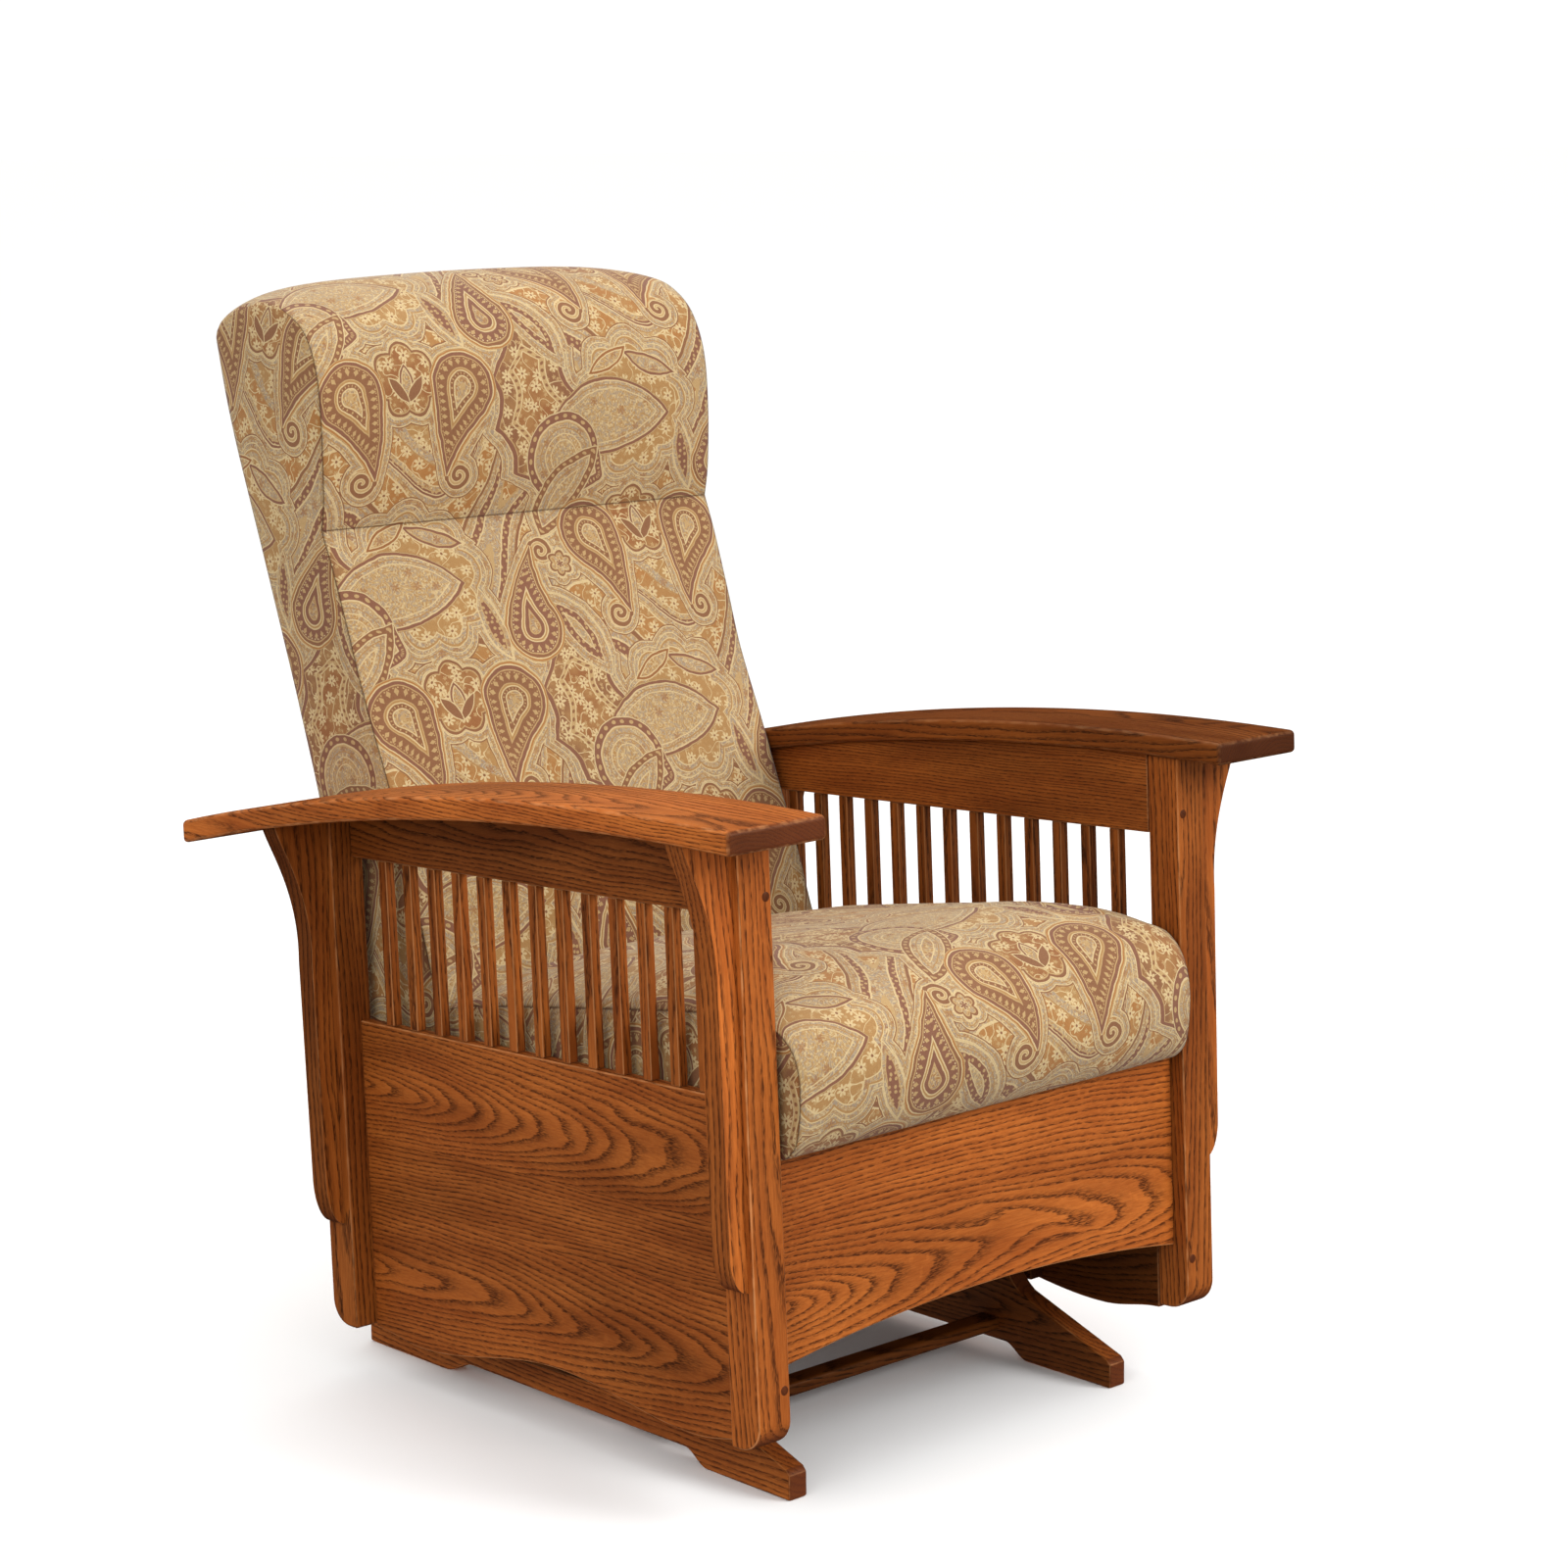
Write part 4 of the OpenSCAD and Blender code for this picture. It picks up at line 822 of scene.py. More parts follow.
    # stitched rings echo every outline out over the ground
    ring, rcls = n.ramp(n.m("MULTIPLY", M.near, 1.0 / 16.0), [(0.0, (*CREAM, 1)), (0.075, (*LILAC, STIPPLE)), (0.235, (*GOLD, 1)), (0.30, (*LILAC, STIPPLE)), (0.44, (*CREAM, 1)), (0.51, (*BROWN, 1))], "CONSTANT")
    out = n.m("MULTIPLY", n.m("GREATER_THAN", M.near, 0.0), n.m("LESS_THAN", M.near, 9.4))
    col = n.mix(out, M.col, ring)
    cls = n.m("ADD", n.m("MULTIPLY", M.cls, n.m("SUBTRACT", 1.0, out)), n.m("MULTIPLY", rcls, out))
    # specks and flowers only where their class says
    near = lambda v, c: n.m("COMPARE", v, c, 0.1)
    vor = n.put("ShaderNodeTexVoronoi", voronoi_dimensions="2D", feature="F1")
    n.into(vor.inputs["Vector"], p)
    vor.inputs["Scale"].default_value = 0.165
    vor.inputs["Randomness"].default_value = 0.45
    dot = n.m("LESS_THAN", vor.outputs["Distance"], 0.27)
    col = n.mix(n.m("MULTIPLY", dot, near(cls, SPECK)), col, STRAW)
    pet, eye = flowers(n, p, 0.055, 7, 7.0, 1)
    bud, _ = flowers(n, p, 0.11, 5, 2.5, 5)
    fl = near(cls, FLOWER)
    # amber clouds and winding stems inside the flower fields
    haze = n.noise(n.v("SCALE", p, 0.04), detail=2.0)
    hz, _ = n.ramp(haze, [(0.40, 0.0), (0.60, 1.0)])
    col = n.mix(n.m("MULTIPLY", fl, n.m("MULTIPLY", hz, 0.6)), col, GOLD)
    vine = n.m("ABSOLUTE", n.m("SUBTRACT", n.noise(n.v("SCALE", p, 0.055), detail=0.0), 0.5))
    col = n.mix(n.m("MULTIPLY", fl, n.m("LESS_THAN", vine, 0.013)), col, CREAM)
    col = n.mix(n.m("MULTIPLY", fl, n.m("MULTIPLY", bud, 0.9)), col, STRAW)
    col = n.mix(n.m("MULTIPLY", fl, pet), col, CREAM)
    col = n.mix(n.m("MULTIPLY", fl, eye), col, BROWN)
    # stippled fields: curling lines of cream thread over mixed grey and gold
    st = near(cls, STIPPLE)
    field = n.noise(n.v("SCALE", p, 0.050), detail=1.0)
    curl = n.m("ABSOLUTE", n.m("SINE", n.m("MULTIPLY", field, 58.0)))
    bead = n.put("ShaderNodeTexWhiteNoise", noise_dimensions="2D")
    n.into(bead.inputs[0], n.v("SNAP", p, (1.9, 1.9, 1.0)))
    pick, _ = n.ramp(bead.outputs[0], [(0.0, GOLD), (0.32, LILAC), (0.69, STRAW), (0.88, CREAM)], "CONSTANT")
    col = n.mix(n.m("MULTIPLY", st, 0.70), col, pick)
    col = n.mix(n.m("MULTIPLY", st, n.m("MULTIPLY", n.m("LESS_THAN", curl, 0.36), 0.62)), col, CREAM)
    pet2, _ = flowers(n, p, 0.034, 6, 5.4, 3)
    col = n.mix(n.m("MULTIPLY", st, n.m("MULTIPLY", pet2, 0.6)), col, RUST)
    # every thread varies a little
    col = n.mix(n.m("MULTIPLY_ADD", thc[1], 0.34, 0.0), col, n.mix(1.0, col, (0.66, 0.58, 0.50), "MULTIPLY"))
    return col, p

# ------------------------------------------------------------------ upholstery
def smooth_curve(pts, n, sub=24):
    """n equal steps along a Catmull-Rom curve through pts."""
    p = np.array(pts, float)
    ext = np.vstack([2 * p[0] - p[1], p, 2 * p[-1] - p[-2]])
    out = []
    for i in range(len(p) - 1):
        a, b, c, d = ext[i:i + 4]
        for t in np.arange(sub) / sub:
            out.append(0.5 * (2 * b + (c - a) * t + (2 * a - 5 * b + 4 * c - d) * t * t + (3 * b - a - 3 * c + d) * t ** 3))
    out.append(p[-1])
    out = np.array(out)
    s = np.r_[0, np.cumsum(np.linalg.norm(np.diff(out, axis=0), axis=1))]
    q = np.linspace(0, s[-1], n + 1)
    return np.stack([np.interp(q, s, out[:, k]) for k in (0, 1)], 1)


def join(*parts):
    return np.vstack([parts[0]] + [p[1:] for p in parts[1:]])


class Shell:
    """A sewn cover: one long strip round the outline, and a boxing panel at each end. B, F, T, R are the bottom, front, top and rear
    curves of the outline at the edges (index 0) and at the middle (index 1), as [y, z] rows of the seat assembly, in mm."""

    def __init__(self, name, half, nx, B, F, T, R, crown=2.6, swell_k=1.0, turn=0.0, width=None):
        self.name, self.half = name, half
        na, nb = len(B[0]) - 1, len(F[0]) - 1
        self.na, self.nb, self.nx = na, nb, nx
        loop = [np.vstack([F[k], T[k][1:], R[k][::-1][1:], B[k][::-1][1:-1]]) for k in (0, 1)]
        m = len(loop[0])
        self.m = m
        xs = half * np.sin(np.linspace(-math.pi / 2, math.pi / 2, nx + 1) * 0.86) / math.sin(math.pi / 2 * 0.86)
        self.xs = xs
        V = []
        width = width or (lambda z: np.ones_like(z))
        for x in xs:
            w = (1 - abs(x / half) ** crown) ** swell_k
            P = loop[0] * (1 - w) + loop[1] * w
            V.append(np.column_stack([x * width(loop[0][:, 1]), P]))
        V = [p for s in V for p in s]
        self.strip_n = len(V)
        # boxing panels
        a = np.linspace(0, 1, na + 1)[None, :, None]
        b = np.linspace(0, 1, nb + 1)[:, None, None]
        Bc, Fc, Tc, Rc = B[0][None], F[0][:, None], T[0][None], R[0][:, None]
        S = (1 - b) * Bc + b * Tc + (1 - a) * Fc + a * Rc - ((1 - a) * (1 - b) * B[0][0] + a * (1 - b) * B[0][-1] + (1 - a) * b * T[0][0] + a * b * T[0][-1])
        ids = {}
        for side, k in ((-1, 0), (1, nx)):
            for j in range(nb + 1):
                for i in range(na + 1):
                    if i == 0:
                        v = j
                    elif j == nb:
                        v = nb + i
                    elif i == na:
                        v = nb + na + (nb - j)
                    elif j == 0:
                        v = (2 * nb + na + (na - i)) % m
                    else:
                        ids[side, i, j] = len(V)
                        V.append(np.array([side * half * float(width(S[j, i, 1])), S[j, i, 0], S[j, i, 1]]))
                        continue
                    ids[side, i, j] = k * m + v
        self.V = np.array(V, float)
        self.ids = ids
        # lengths along the strip, measured at the middle of the cover
        mid = loop[1]
        s = np.r_[0, np.cumsum(np.linalg.norm(np.diff(np.vstack([mid, mid[:1]]), axis=0), axis=1))]
        self.s = s
        faces, uvs, kinds = [], [], []
        for k in range(nx):
            for i in range(m):
                j = (i + 1) % m
                faces.append((k * m + i, (k + 1) * m + i, (k + 1) * m + j, k * m + j))
                u0, u1, v0, v1 = xs[k], xs[k + 1], s[i], s[i + 1]
                uvs.append(((u0, v0), (u1, v0), (u1, v1), (u0, v1)))
                kinds.append(0)
        ct, st = math.cos(turn), math.sin(turn)
        for side in (-1, 1):
            for j in range(nb):
                for i in range(na):
                    q = [(i, j), (i + 1, j), (i + 1, j + 1), (i, j + 1)]
                    if side > 0:
                        q = [q[0], q[3], q[2], q[1]]
                        q = q[::1]
                    f = [ids[side, a_, b_] for a_, b_ in q]
                    if side < 0:
                        f, q = f[::-1], q[::-1]
                        f, q = f[::-1], q[::-1]
                    uv = []
                    for a_, b_ in q:
                        y, z = S[b_, a_]
                        uu, vv = (y * ct - z * st), (y * st + z * ct)
                        uv.append((side * uu + side * 410, vv))
                    faces.append(tuple(f))
                    uvs.append(tuple(uv))
                    kinds.append(side)
        self.faces, self.uvs, self.kinds = faces, uvs, kinds
        # for the seams
        self.S = S

    def mesh(self, name, V):
        me = bpy.data.meshes.new(name)
        me.from_pydata([tuple(v) for v in V], [], self.faces)
        return me


def swell(shell, V, pins, cap, pressure=4.0, frames=20, hold=None):
    """Inflates the cover with Cloth between its pinned seams, and returns the capped result."""
    me = shell.mesh(shell.name + "_sim", V)
    me.transform(SEAT)
    bm = bmesh.new()
    bm.from_mesh(me)
    bmesh.ops.recalc_face_normals(bm, faces=bm.faces[:])
    bm.to_mesh(me)
    bm.free()
    o = bpy.data.objects.new(shell.name + "_sim", me)
    bpy.context.scene.collection.objects.link(o)
    g = o.vertex_groups.new(name="pin")
    g.add([int(i) for i in np.flatnonzero(pins)], 1.0, "REPLACE")
    c = o.modifiers.new("cloth", "CLOTH")
    st = c.settings
    st.quality = 5
    st.mass = 0.3
    st.tension_stiffness = st.compression_stiffness = 22
    st.shear_stiffness = 9
    st.bending_stiffness = 0.8
    st.use_pressure = True
    st.uniform_pressure_force = pressure
    st.vertex_group_mass = "pin"
    st.pin_stiffness = 1.0
    st.effector_weights.gravity = 0.0
    c.collision_settings.use_collision = False
    c.collision_settings.use_self_collision = False
    c.point_cache.frame_start, c.point_cache.frame_end = 1, frames
    sc = bpy.context.scene
    for f in range(1, frames + 1):
        sc.frame_set(f)
    dg = bpy.context.evaluated_depsgraph_get()
    ev = o.evaluated_get(dg).to_mesh()
    co = np.empty(len(ev.vertices) * 3)
    ev.vertices.foreach_get("co", co)
    o.evaluated_get(dg).to_mesh_clear()
    sc.frame_set(1)
    inv = np.array(SEAT.inverted())
    co = co.reshape(-1, 3) @ inv[:3, :3].T + inv[:3, 3]
    bpy.data.objects.remove(o)
    bpy.data.meshes.remove(me)
    d = co - V
    ln = np.linalg.norm(d, axis=1)
    lim = cap * np.tanh(ln / cap)
    d *= (lim / np.maximum(ln, 1e-9))[:, None]
    return V + d


def finish_cover(shell, V, mat, node, seams, crease, name, levels=1):
    """Subdivides the cover once, keeps its seams crisp, and writes the cloth coordinates and the distance to the nearest seam."""
    me = shell.mesh(name, V)
    uv = me.uv_layers.new(name="cloth")
    uv.data.foreach_set("uv", np.array(shell.uvs).ravel() * 0.001)
    bm = bmesh.new()
    bm.from_mesh(me)
    kl = bm.faces.layers.int.new("panel")
    cr = bm.edges.layers.float.new("crease_edge")
    bm.faces.ensure_lookup_table()
    for f, k in zip(bm.faces, shell.kinds):
        f[kl] = k
    bm.verts.ensure_lookup_table()
    for a, b, w in crease:
        e = bm.edges.get((bm.verts[a], bm.verts[b]))
        if e:
            e[cr] = w
    bmesh.ops.recalc_face_normals(bm, faces=bm.faces[:])
    bm.to_mesh(me)
    bm.free()
    me.transform(SEAT)
    o = bpy.data.objects.new(name + "_cage", me)
    bpy.context.scene.collection.objects.link(o)
    ss = o.modifiers.new("subdivision", "SUBSURF")
    ss.levels = ss.render_levels = levels
    ss.uv_smooth = "PRESERVE_BOUNDARIES"
    ss.boundary_smooth = "ALL"
    dg = bpy.context.evaluated_depsgraph_get()
    out = bpy.data.meshes.new_from_object(o.evaluated_get(dg))
    out.name = name
    bpy.data.objects.remove(o)
    bpy.data.meshes.remove(me)
    # distance to the nearest seam, from the cloth coordinates
    n = len(out.loops)
    uvc = np.empty(n * 2)
    out.uv_layers["cloth"].data.foreach_get("uv", uvc)
    uvc = uvc.reshape(-1, 2)
    kinds = np.empty(len(out.polygons), int)
    out.attributes["panel"].data.foreach_get("value", kinds)
    per = np.empty(len(out.polygons), int)
    out.polygons.foreach_get("loop_total", per)
    lk = np.repeat(kinds, per)
    vi = np.empty(n, int)
    out.loops.foreach_get("vertex_index", vi)
    co = np.empty(len(out.vertices) * 3)
    out.vertices.foreach_get("co", co)
    co = co.reshape(-1, 3)
    inv = np.array(SEAT.inverted())
    loc = co @ inv[:3, :3].T + inv[:3, 3]
    d = seams(uvc * 1000, lk, loc[vi]) * 0.001
    at = out.attributes.new("seam", "FLOAT", "CORNER")
    at.data.foreach_set("value", d)
    out.shade_smooth()
    out.materials.clear()
    out.materials.append(mat)
    ob = bpy.data.objects.new(name, out)
    bpy.context.scene.collection.objects.link(ob)
    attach(ob, "seat")
    if node:
        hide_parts(node)
    return ob, loc


def to_line(P, line):
    """Distance of points P (n, 2) to a polyline."""
    best = np.full(len(P), 1e9)
    for a, b in zip(line[:-1], line[1:]):
        ab = b - a
        t = np.clip(((P - a) @ ab) / (ab @ ab), 0, 1)
        best = np.minimum(best, np.linalg.norm(P - (a + t[:, None] * ab), axis=1))
    return best


# --- seat
NB_S, NA_S = 13, 46
se_F = smooth_curve([(-314, 259.2), (-329, 272), (-334.5, 290), (-337.5, 312), (-338, 333), (-334, 352), (-324, 367), (-309, 376.5)], NB_S)
sm_F = smooth_curve([(-314, 259.2), (-330, 272), (-337, 290), (-340.5, 312), (-341, 338), (-337, 358), (-325, 377.5), (-300, 394)], NB_S)
se_T = smooth_curve([(-309, 376.5), (-285, 380.5), (-245, 381.5), (-201, 380), (-106, 370.5), (9, 357.5), (86, 349), (140, 342), (166, 336)], NA_S)
sm_T = smooth_curve([(-300, 394), (-262, 404), (-205, 406), (-130, 400), (-60, 392), (26, 382), (86, 373.5), (145, 361), (174, 347)], NA_S)
se_R = smooth_curve([(158, 259.2), (166, 336)], NB_S)
sm_R = smooth_curve([(158, 259.2), (170, 300), (174, 347)], NB_S)
se_B = smooth_curve([(-314, 259.2), (158, 259.2)], NA_S)
seat = Shell("seat_cushion_cloth", 262.5, 44, (se_B, se_B), (se_F, sm_F), (se_T, sm_T), (se_R, sm_R), crown=8.0, swell_k=0.5)


def strip_rows(sh, rows):
    """True for the strip's points in those rows."""
    pin = np.zeros(len(sh.V), bool)
    for k in range(sh.nx + 1):
        for r in rows:
            pin[k * sh.m + r % sh.m] = True
    return pin


def edge_rows(sh, rows):
    pin = np.zeros(len(sh.V), bool)
    for k in (0, sh.nx):
        for r in rows:
            pin[k * sh.m + r % sh.m] = True
    return pin


seat_top_rows = range(0, NB_S + NA_S + 1)
pins = strip_rows(seat, [0] + list(range(NB_S + NA_S + 6, seat.m)))
pins |= edge_rows(seat, seat_top_rows)
SV = seat.V
SV = swell(seat, seat.V, pins, 13.0)
SV = SV.copy()
SV[:, 0] = np.clip(SV[:, 0], -267.5, 267.5)
SV[:, 2] = np.maximum(SV[:, 2], 258.6)
# the left front of the seat is stuffed a little fuller
SV[:, 2] += 11 * np.clip((SV[:, 0] - 60) / 200, 0, 1) * np.clip((-SV[:, 1] - 130) / 110, 0, 1) * np.clip((SV[:, 2] - 340) / 40, 0, 1)
side_crease = [(k * seat.m + r, k * seat.m + (r + 1) % seat.m, 0.55) for k in (0, seat.nx) for r in range(seat.m)]
seat_front = np.vstack([se_F, se_T[1:]])


def seat_seams(uv, kind, loc):
    d = np.where(kind == 0, np.abs(np.abs(uv[:, 0]) - seat.half), 1e3)
    top = (kind == 0) & (uv[:, 1] < seat.s[NB_S + NA_S] + 5)
    d = np.where((kind == 0) & ~top, 50, d)
    s = kind != 0
    d[s] = to_line(np.column_stack([loc[s, 1], loc[s, 2]]), seat_front)
    return np.minimum(d, 60)


# --- back
NB1, NB2, NA_B = 50, 22, 12
lower_e = [(162, 263), (193.5, 357.6), (213, 425), (241, 508), (256, 553), (287.6, 635), (306, 697), (326, 762), (340, 800)]
upper_e = [(340, 800), (334, 826), (330.5, 870), (329.5, 905), (331, 945), (338, 975), (350, 998), (366, 1013), (391, 1027)]
lower_m = [(162, 263), (191, 357.6), (209, 425), (236, 508), (250, 553), (281, 635), (300, 697), (321, 762), (339, 800)]
upper_m = [(339, 800), (331, 826), (326, 870), (325, 905), (328, 948), (337, 982), (352, 1007), (373, 1027), (404, 1040)]
be_F = join(smooth_curve(lower_e, NB1), smooth_curve(upper_e, NB2))
bm_F = join(smooth_curve(lower_m, NB1), smooth_curve(upper_m, NB2))
be_T = smooth_curve([(391, 1027), (410, 1030.5), (432, 1031), (456, 1028), (478, 1021), (496, 1012), (505, 1000)], NA_B)
bm_T = smooth_curve([(404, 1040), (426, 1047), (452, 1050), (478, 1048.5), (496, 1041), (506, 1028), (508, 1010)], NA_B)


def rear_pt(t, off=0.0):
    a = math.radians(BACK_LEAN)
    return (284.5 + t * math.sin(a) - off * math.cos(a), 262 + t * math.cos(a) + off * math.sin(a))


be_R = join(smooth_curve([rear_pt(1, -8), rear_pt(266, -9), rear_pt(531.7, -8)], NB1), smooth_curve([rear_pt(531.7, -8), rear_pt(680, -9), (505, 1000)], NB2))
bm_R = join(smooth_curve([rear_pt(1, 4), rear_pt(531.7, 4)], NB1), smooth_curve([rear_pt(531.7, 4), rear_pt(740, 4), (508, 1010)], NB2))
be_B = smooth_curve([(162, 263), rear_pt(1, -8)], NA_B)
bm_B = smooth_curve([(162, 263), rear_pt(1, 4)], NA_B)


def back_width(z):
    return np.interp(z, [262, 400, 553, 640, 768, 880], [1.002, 0.997, 0.985, 0.985, 0.994, 1.0])


back = Shell("back_cushion_cloth", 258.0, 44, (be_B, bm_B), (be_F, bm_F), (be_T, bm_T), (be_R, bm_R), crown=5.0, swell_k=0.8, turn=math.radians(-14), width=back_width)
NBB = NB1 + NB2
pins = strip_rows(back, [0, NB1] + list(range(NBB + NA_B + 3, back.m)))
pins |= edge_rows(back, list(range(0, NBB + 1)) + list(range(NBB + NA_B, back.m)))
BV = back.V
BV = swell(back, back.V, pins, 13.0)
BV = BV.copy()
lowz = BV[:, 2] < 660
BV[:, 0] = np.where(lowz, np.clip(BV[:, 0], -258.8, 258.8), np.clip(BV[:, 0], -261.5, 261.5))
BV[:, 2] += 5 * np.clip((BV[:, 2] - 985) / 50, 0, 1) * BV[:, 0] / 258
back_crease = [(k * back.m + r, k * back.m + r + 1, 0.6) for k in (0, back.nx) for r in range(NBB)]
back_crease += [(k * back.m + NB1, (k + 1) * back.m + NB1, 0.5) for k in range(back.nx)]
# rear edges lie tight over the frame
back_crease += [(k * back.m + r, k * back.m + (r + 1) % back.m, 0.7) for k in (0, back.nx) for r in range(NBB + NA_B, back.m)]
HEAD_V = back.s[NB1]
END_V = back.s[NBB]


def back_seams(uv, kind, loc):
    strip = kind == 0
    front = strip & (uv[:, 1] <= END_V + 1)
    d = np.full(len(uv), 60.0)
    a = np.abs(np.abs(uv[:, 0]) - back.half)
    over = np.maximum(uv[:, 1] - END_V, 0)
    d = np.where(strip & (uv[:, 1] < END_V + 40), np.hypot(a, over), d)
    d = np.where(front | (strip & (uv[:, 1] < END_V + 40)), np.minimum(d, np.abs(uv[:, 1] - HEAD_V)), d)
    s = kind != 0
    d[s] = to_line(np.column_stack([loc[s, 1], loc[s, 2]]), be_F)
    return np.minimum(d, 60)


TINT = (0.73, 0.69, 0.65)


def fabric(name, shift):
    mat, n, b = new_mat(name, 0.86, 0.25)
    u = n.put("ShaderNodeUVMap", uv_map="cloth").outputs[0]
    p = n.v("MULTIPLY", n.v("ADD", n.v("SCALE", u, 1000.0), (*shift, 0)), (0.915, 0.958, 1.0))
    col, q = tapestry(n, p)
    seam = n.attr("seam", "Fac")
    # painted shade: the cloth darkens towards each seam, and a thin dark brown line along the seam itself stands in for
    # the shade in its crease
    line, _ = n.ramp(n.m("MULTIPLY", seam, 100.0), [(0.0, 0.15), (0.04, 0.2), (0.11, 1.0)])
    shade, _ = n.ramp(n.m("MULTIPLY", seam, 100.0), [(0.0, 0.80), (0.3, 0.95), (1.0, 1.0)])
    col = n.mix(1.0, col, shade, "MULTIPLY")
    col = n.mix(n.m("MULTIPLY", n.m("SUBTRACT", 1.0, line), 0.80), col, srgb(84, 52, 34))
    # soft lighter and darker blotches: painted shade of a stuffed cover's unevenness
    blot = n.noise(n.v("SCALE", p, 0.011), detail=2.0)
    bl, _ = n.ramp(blot, [(0.3, 0.93), (0.7, 1.04)])
    col = n.mix(1.0, col, bl, "MULTIPLY")
    col = n.mix(1.0, col, TINT, "MULTIPLY")
    n.into(b.inputs["Base Color"], col)
    b.inputs["Sheen Weight"].default_value = 0.12
    b.inputs["Sheen Roughness"].default_value = 0.45
    # weave: warp and weft ridges 1.1 mm apart, with a slub here and there
    x, y, _ = n.split(p)
    wx = n.m("ABSOLUTE", n.m("SINE", n.m("MULTIPLY", x, math.pi / 1.1)))
    wy = n.m("ABSOLUTE", n.m("SINE", n.m("MULTIPLY", y, math.pi / 1.1)))
    chk = n.put("ShaderNodeTexChecker")
    n.into(chk.inputs[0], n.v("SCALE", p, 1.0 / 1.1))
    chk.inputs["Scale"].default_value = 1.0
    w = n.m("ADD", n.m("MULTIPLY", wx, chk.outputs["Fac"]), n.m("MULTIPLY", wy, n.m("SUBTRACT", 1.0, chk.outputs["Fac"])))
    slub = n.noise(n.v("MULTIPLY", p, (0.9, 0.25, 1.0)), detail=2.0)
    h = n.m("ADD", n.m("MULTIPLY", w, 0.6), slub)
    dip, _ = n.ramp(n.m("MULTIPLY", seam, 100.0), [(0.0, 0.0), (0.15, 0.45), (0.6, 1.0)])
    pk = n.noise(n.v("SCALE", p, 0.045), detail=1.0)
    puck = n.m("MULTIPLY", pk, n.m("SUBTRACT", 1.0, n.m("MINIMUM", n.m("MULTIPLY", seam, 40.0), 1.0)))
    n1 = n.put("ShaderNodeBump")
    n1.inputs["Strength"].default_value = 0.35
    n1.inputs["Distance"].default_value = 0.0005
    n.into(n1.inputs["Height"], h)
    n2 = n.put("ShaderNodeBump")
    n2.inputs["Strength"].default_value = 0.5
    n2.inputs["Distance"].default_value = 0.003
    n.into(n2.inputs["Height"], n.m("ADD", dip, n.m("MULTIPLY", puck, 1.2)))
    n.into(n2.inputs["Normal"], n1.outputs[0])
    n.into(b.inputs["Normal"], n2.outputs[0])
    n.into(b.inputs["Roughness"], n.m("MULTIPLY_ADD", slub, 0.12, 0.80))
    return mat


FABRIC = fabric("paisley_tapestry_back", (152.0, -664.0))
FABRIC_SEAT = fabric("paisley_tapestry_seat", (-81.0, -112.0))
seat_ob, _ = finish_cover(seat, SV, FABRIC_SEAT, "seat_cushion", seat_seams, side_crease, "seat_cushion_cloth")
back_ob, _ = finish_cover(back, BV, FABRIC, "back_pad", back_seams, back_crease, "back_cushion_cloth")

# ------------------------------------------------------------------ outside back, deck cloth and dust cover
def slab(name, nx, ny, place, top, bottom, mat, body, node, uv=None, seam=None):
    """A closed thin form over a grid in the unit square. top and bottom give the point, in mm, for grid arrays (s, t)."""
    s, t = np.meshgrid(np.linspace(0, 1, nx + 1), np.linspace(0, 1, ny + 1))
    A, B = np.stack(top(s, t), -1).reshape(-1, 3), np.stack(bottom(s, t), -1).reshape(-1, 3)
    w = nx + 1
    at = lambda i, j, k: j * w + i + k * len(A)
    faces, grid = [], []
    for j in range(ny):
        for i in range(nx):
            q = [(i, j), (i + 1, j), (i + 1, j + 1), (i, j + 1)]
            faces.append([at(a, b, 0) for a, b in q])
            grid.append(q)
            faces.append([at(a, b, 1) for a, b in q[::-1]])
            grid.append(q[::-1])
    rim = [(i, 0) for i in range(nx)] + [(nx, j) for j in range(ny)] + [(i, ny) for i in range(nx, 0, -1)] + [(0, j) for j in range(ny, 0, -1)]
    for k in range(len(rim)):
        a, b = rim[k], rim[(k + 1) % len(rim)]
        faces.append([at(*b, 0), at(*a, 0), at(*a, 1), at(*b, 1)])
        grid.append([b, a, a, b])
    me = bpy.data.meshes.new(name)
    me.from_pydata([tuple(v) for v in np.vstack([A, B])], [], faces)
    if uv is not None:
        U = np.array([uv(a / nx, b / ny) for q in grid for a, b in q])
        me.uv_layers.new(name="cloth").data.foreach_set("uv", (U * 0.001).ravel())
    if seam is not None:
        me.attributes.new("seam", "FLOAT", "CORNER").data.foreach_set("value", np.array([seam(a / nx, b / ny) * 0.001 for q in grid for a, b in q]))
    bm = bmesh.new()
    bm.from_mesh(me)
    bmesh.ops.recalc_face_normals(bm, faces=bm.faces[:])
    bm.to_mesh(me)
    bm.free()
    me.transform(place)
    if place.determinant() < 0:
        me.flip_normals()
    me.shade_smooth()
    me.materials.append(mat)
    o = bpy.data.objects.new(name, me)
    bpy.context.scene.collection.objects.link(o)
    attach(o, body)
    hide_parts(node)
    return o


PX, P0, P1 = 240.0, 14.0, 756.0


def panel_lift(s, t):
    """Rise of the stuffed outside back over the rear plane, in mm."""
    a, b = np.abs(2 * s - 1), np.abs(2 * t - 1)
    return 8.5 * (1 - a ** 5) ** 0.5 * (1 - b ** 9) ** 0.5


panel_ob = slab("back_panel_cloth", 44, 90, BACK,
                lambda s, t: (PX * (2 * s - 1), 5.5 - panel_lift(s, t) + 0.5 * np.sin(17 * s + 3 * t) * np.sin(11 * t), P0 + (P1 - P0) * t),
                lambda s, t: (PX * (2 * s - 1), 7.2 + 0 * s, P0 + (P1 - P0) * t), FABRIC, "seat", "back_panel",
                uv=lambda s, t: (PX * (2 * s - 1), P0 + (P1 - P0) * t - 160.0),
                seam=lambda s, t: min(PX * (1 - abs(2 * s - 1)), (P1 - P0) * 0.5 * (1 - abs(2 * t - 1))) + 1.0)


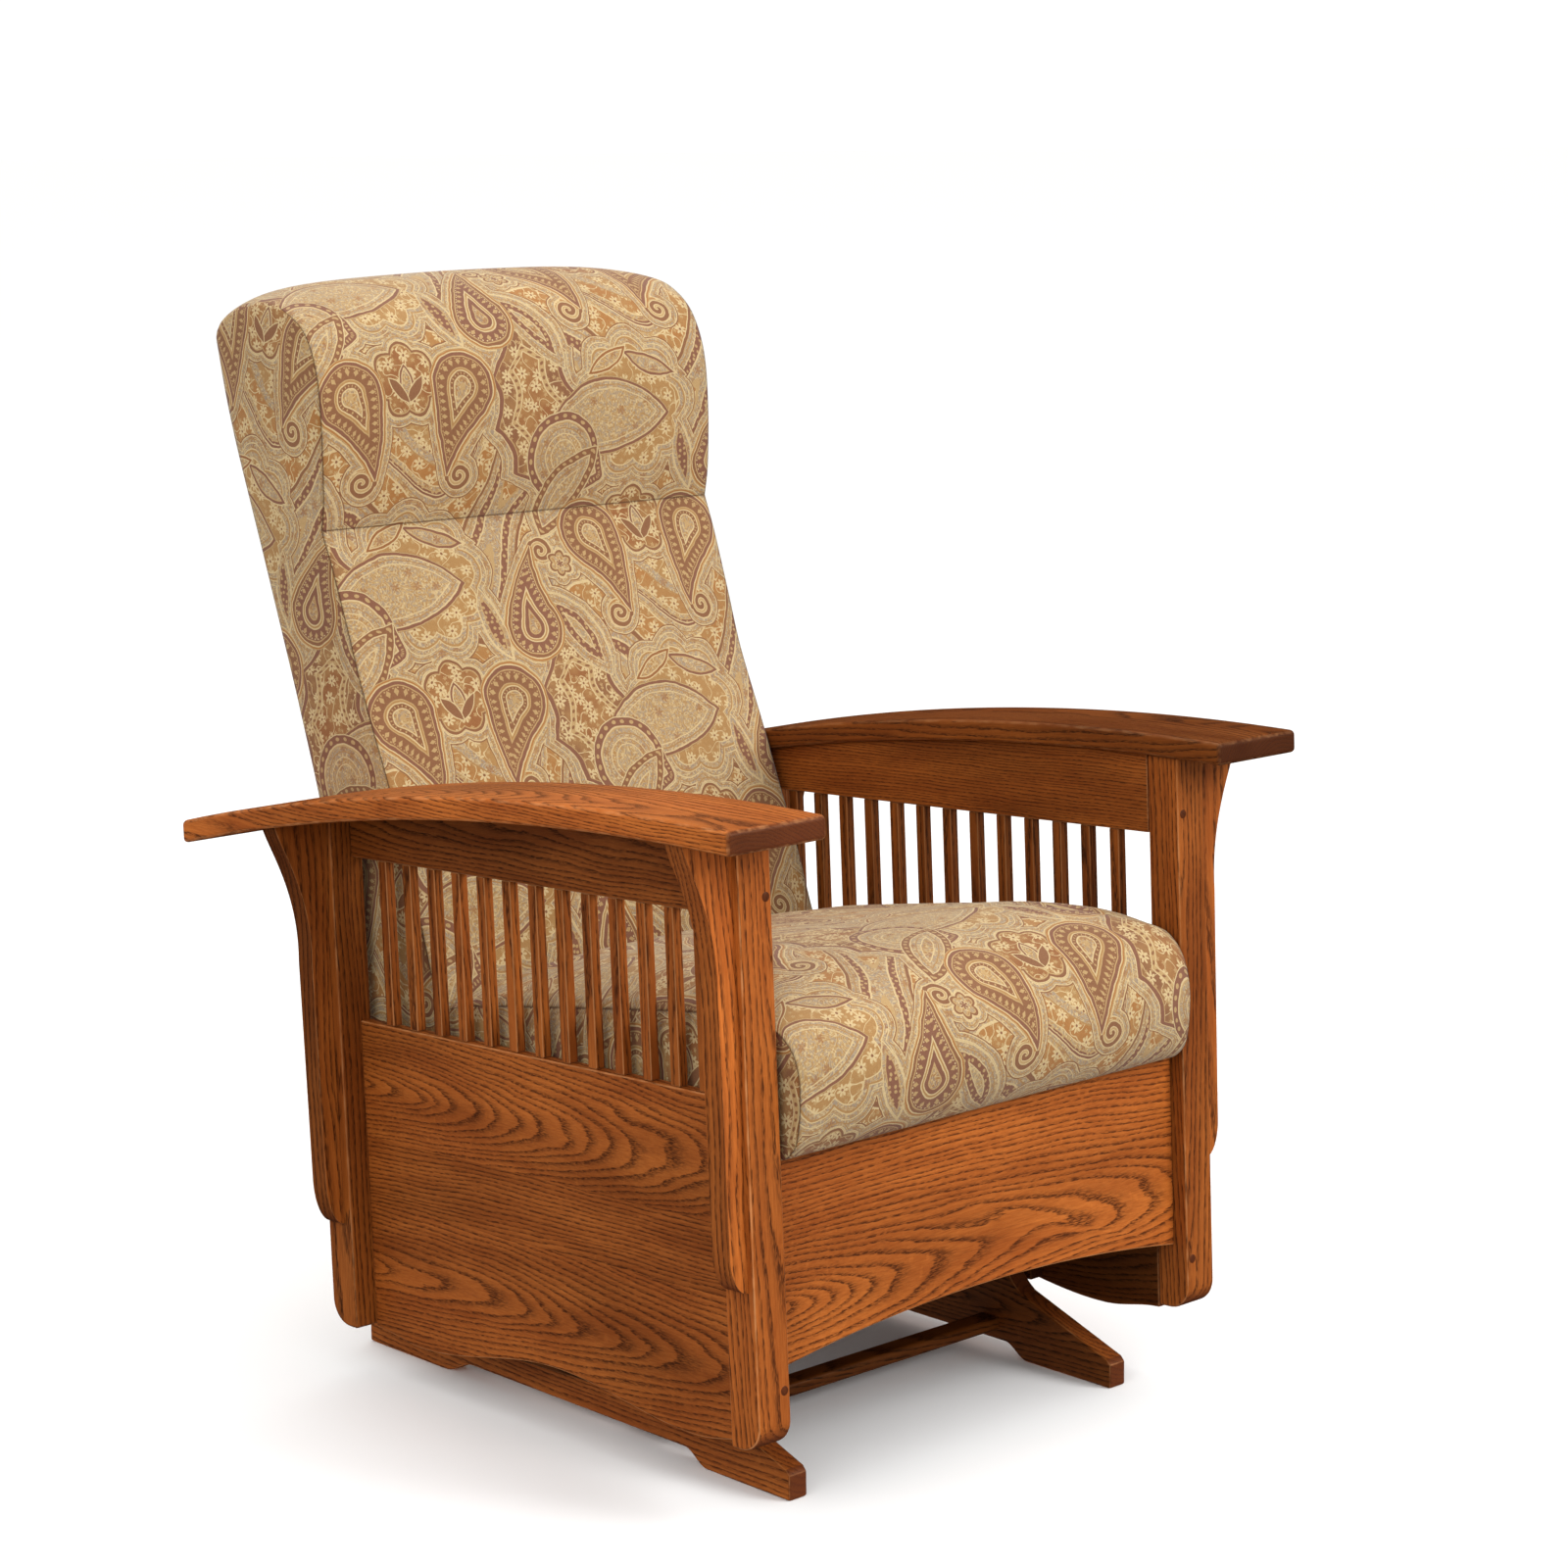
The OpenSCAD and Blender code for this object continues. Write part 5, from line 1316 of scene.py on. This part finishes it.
def stretched(name, node, x1, y0, y1, z, thick, sag, seed):
    """A cloth stapled all round: it dips a little in the middle, with short creases running in from its edges."""
    def skin(dz):
        def f(s, t):
            a, b = 2 * s - 1, 2 * t - 1
            dip = sag * (1 - a ** 4) * (1 - b ** 4)
            e = np.minimum(1 - np.abs(a), 1 - np.abs(b))
            cr = 0.9 * np.exp(-e * 9) * (1 - np.exp(-e * 90)) * (np.sin(41 * a + seed) * np.sin(37 * b + seed * 2) + 0.5 * np.sin(73 * (a + b)))
            return x1 * a, y0 + (y1 - y0) * t, z - dip + cr + dz
        return f
    o = slab(name, 72, 64, SEAT, skin(thick), skin(0.0), LINING, "seat", node)
    return o


stretched("dust_cover_cloth", "dust_cover", 268.0, -282.5, 213.5, 196.7, 0.9, 4.0, 1.3)
stretched("deck_cloth_sheet", "deck_cloth", 268.0, -282.5, 149.5, 256.1, 0.9, 1.5, 2.1)

# ------------------------------------------------------------------ stage, light and camera
def floor():
    bm = bmesh.new()
    bmesh.ops.create_grid(bm, x_segments=8, y_segments=8, size=260.0)
    me = bpy.data.meshes.new("floor")
    bm.to_mesh(me)
    bm.free()
    o = bpy.data.objects.new("floor", me)
    bpy.context.scene.collection.objects.link(o)
    mat, n, b = new_mat("floor_white", 0.9, 0.2)
    c = n.put("ShaderNodeTexCoord").outputs["Object"]
    n.into(b.inputs["Base Color"], n.mix(n.noise(c, 3.0, 2.0), (0.95, 0.95, 0.95), (0.965, 0.965, 0.96)))
    me.materials.append(mat)
    o.visible_glossy = False
    o.visible_diffuse = False
    return o


floor()
world = bpy.data.worlds.new("studio")
bpy.context.scene.world = world
world.use_nodes = True
# bright overhead, dimmer from below: the undersides stay in shade
wn = Net(world.node_tree)
sky = wn.split(wn.put("ShaderNodeTexCoord").outputs["Generated"])[2]
wn.into(world.node_tree.nodes["Background"].inputs[0], wn.ramp(wn.m("MULTIPLY_ADD", sky, 0.5, 0.5), [(0.480, (0.54, 0.52, 0.50)), (0.497, (1.0, 0.995, 0.985))])[0])
world.node_tree.nodes["Background"].inputs[1].default_value = 1.12
world.cycles_visibility.glossy = False


def area(name, at, to, size, watts, colour=(1, 1, 1)):
    d = bpy.data.lights.new(name, "AREA")
    d.shape = "RECTANGLE"
    d.size, d.size_y = size
    d.energy = watts
    d.color = colour
    o = bpy.data.objects.new(name, d)
    bpy.context.scene.collection.objects.link(o)
    o.location = at
    o.rotation_euler = (Vector(to) - Vector(at)).to_track_quat("-Z", "Y").to_euler()
    return o


area("key", (1.6, -3.4, 2.5), (0, 0, 0.45), (1.8, 1.8), 95)
area("fill", (-3.4, -1.6, 2.2), (0, 0, 0.45), (2.2, 2.2), 46)
area("top", (0.2, 0.6, 3.6), (0, 0, 0.4), (2.4, 2.4), 30)

cam = bpy.data.objects.new("camera", bpy.data.cameras.new("camera"))
bpy.context.scene.collection.objects.link(cam)
bpy.context.scene.camera = cam
cam.data.sensor_width = 36.0
cam.data.sensor_fit = "HORIZONTAL"
cam.data.lens = 3721.415 / 1600 * 36.0
cam.data.clip_start, cam.data.clip_end = 0.05, 1000
yaw, pitch, roll = -0.7506161804, 0.1752687910, -0.0078656427
fw = Vector((-math.sin(yaw) * math.cos(pitch), math.cos(yaw) * math.cos(pitch), -math.sin(pitch)))
ri = Vector((math.cos(yaw), math.sin(yaw), 0))
up = ri.cross(fw)
r2 = math.cos(roll) * ri + math.sin(roll) * up
u2 = -math.sin(roll) * ri + math.cos(roll) * up
rot = Matrix((r2, u2, -fw)).transposed().to_4x4()
cam.matrix_world = Matrix.Translation((-2.397775, -2.692002, 1.231472)) @ rot

bpy.context.scene.view_settings.view_transform = "Standard"
bpy.context.scene.view_settings.look = "None"

bpy.context.view_layer.update()
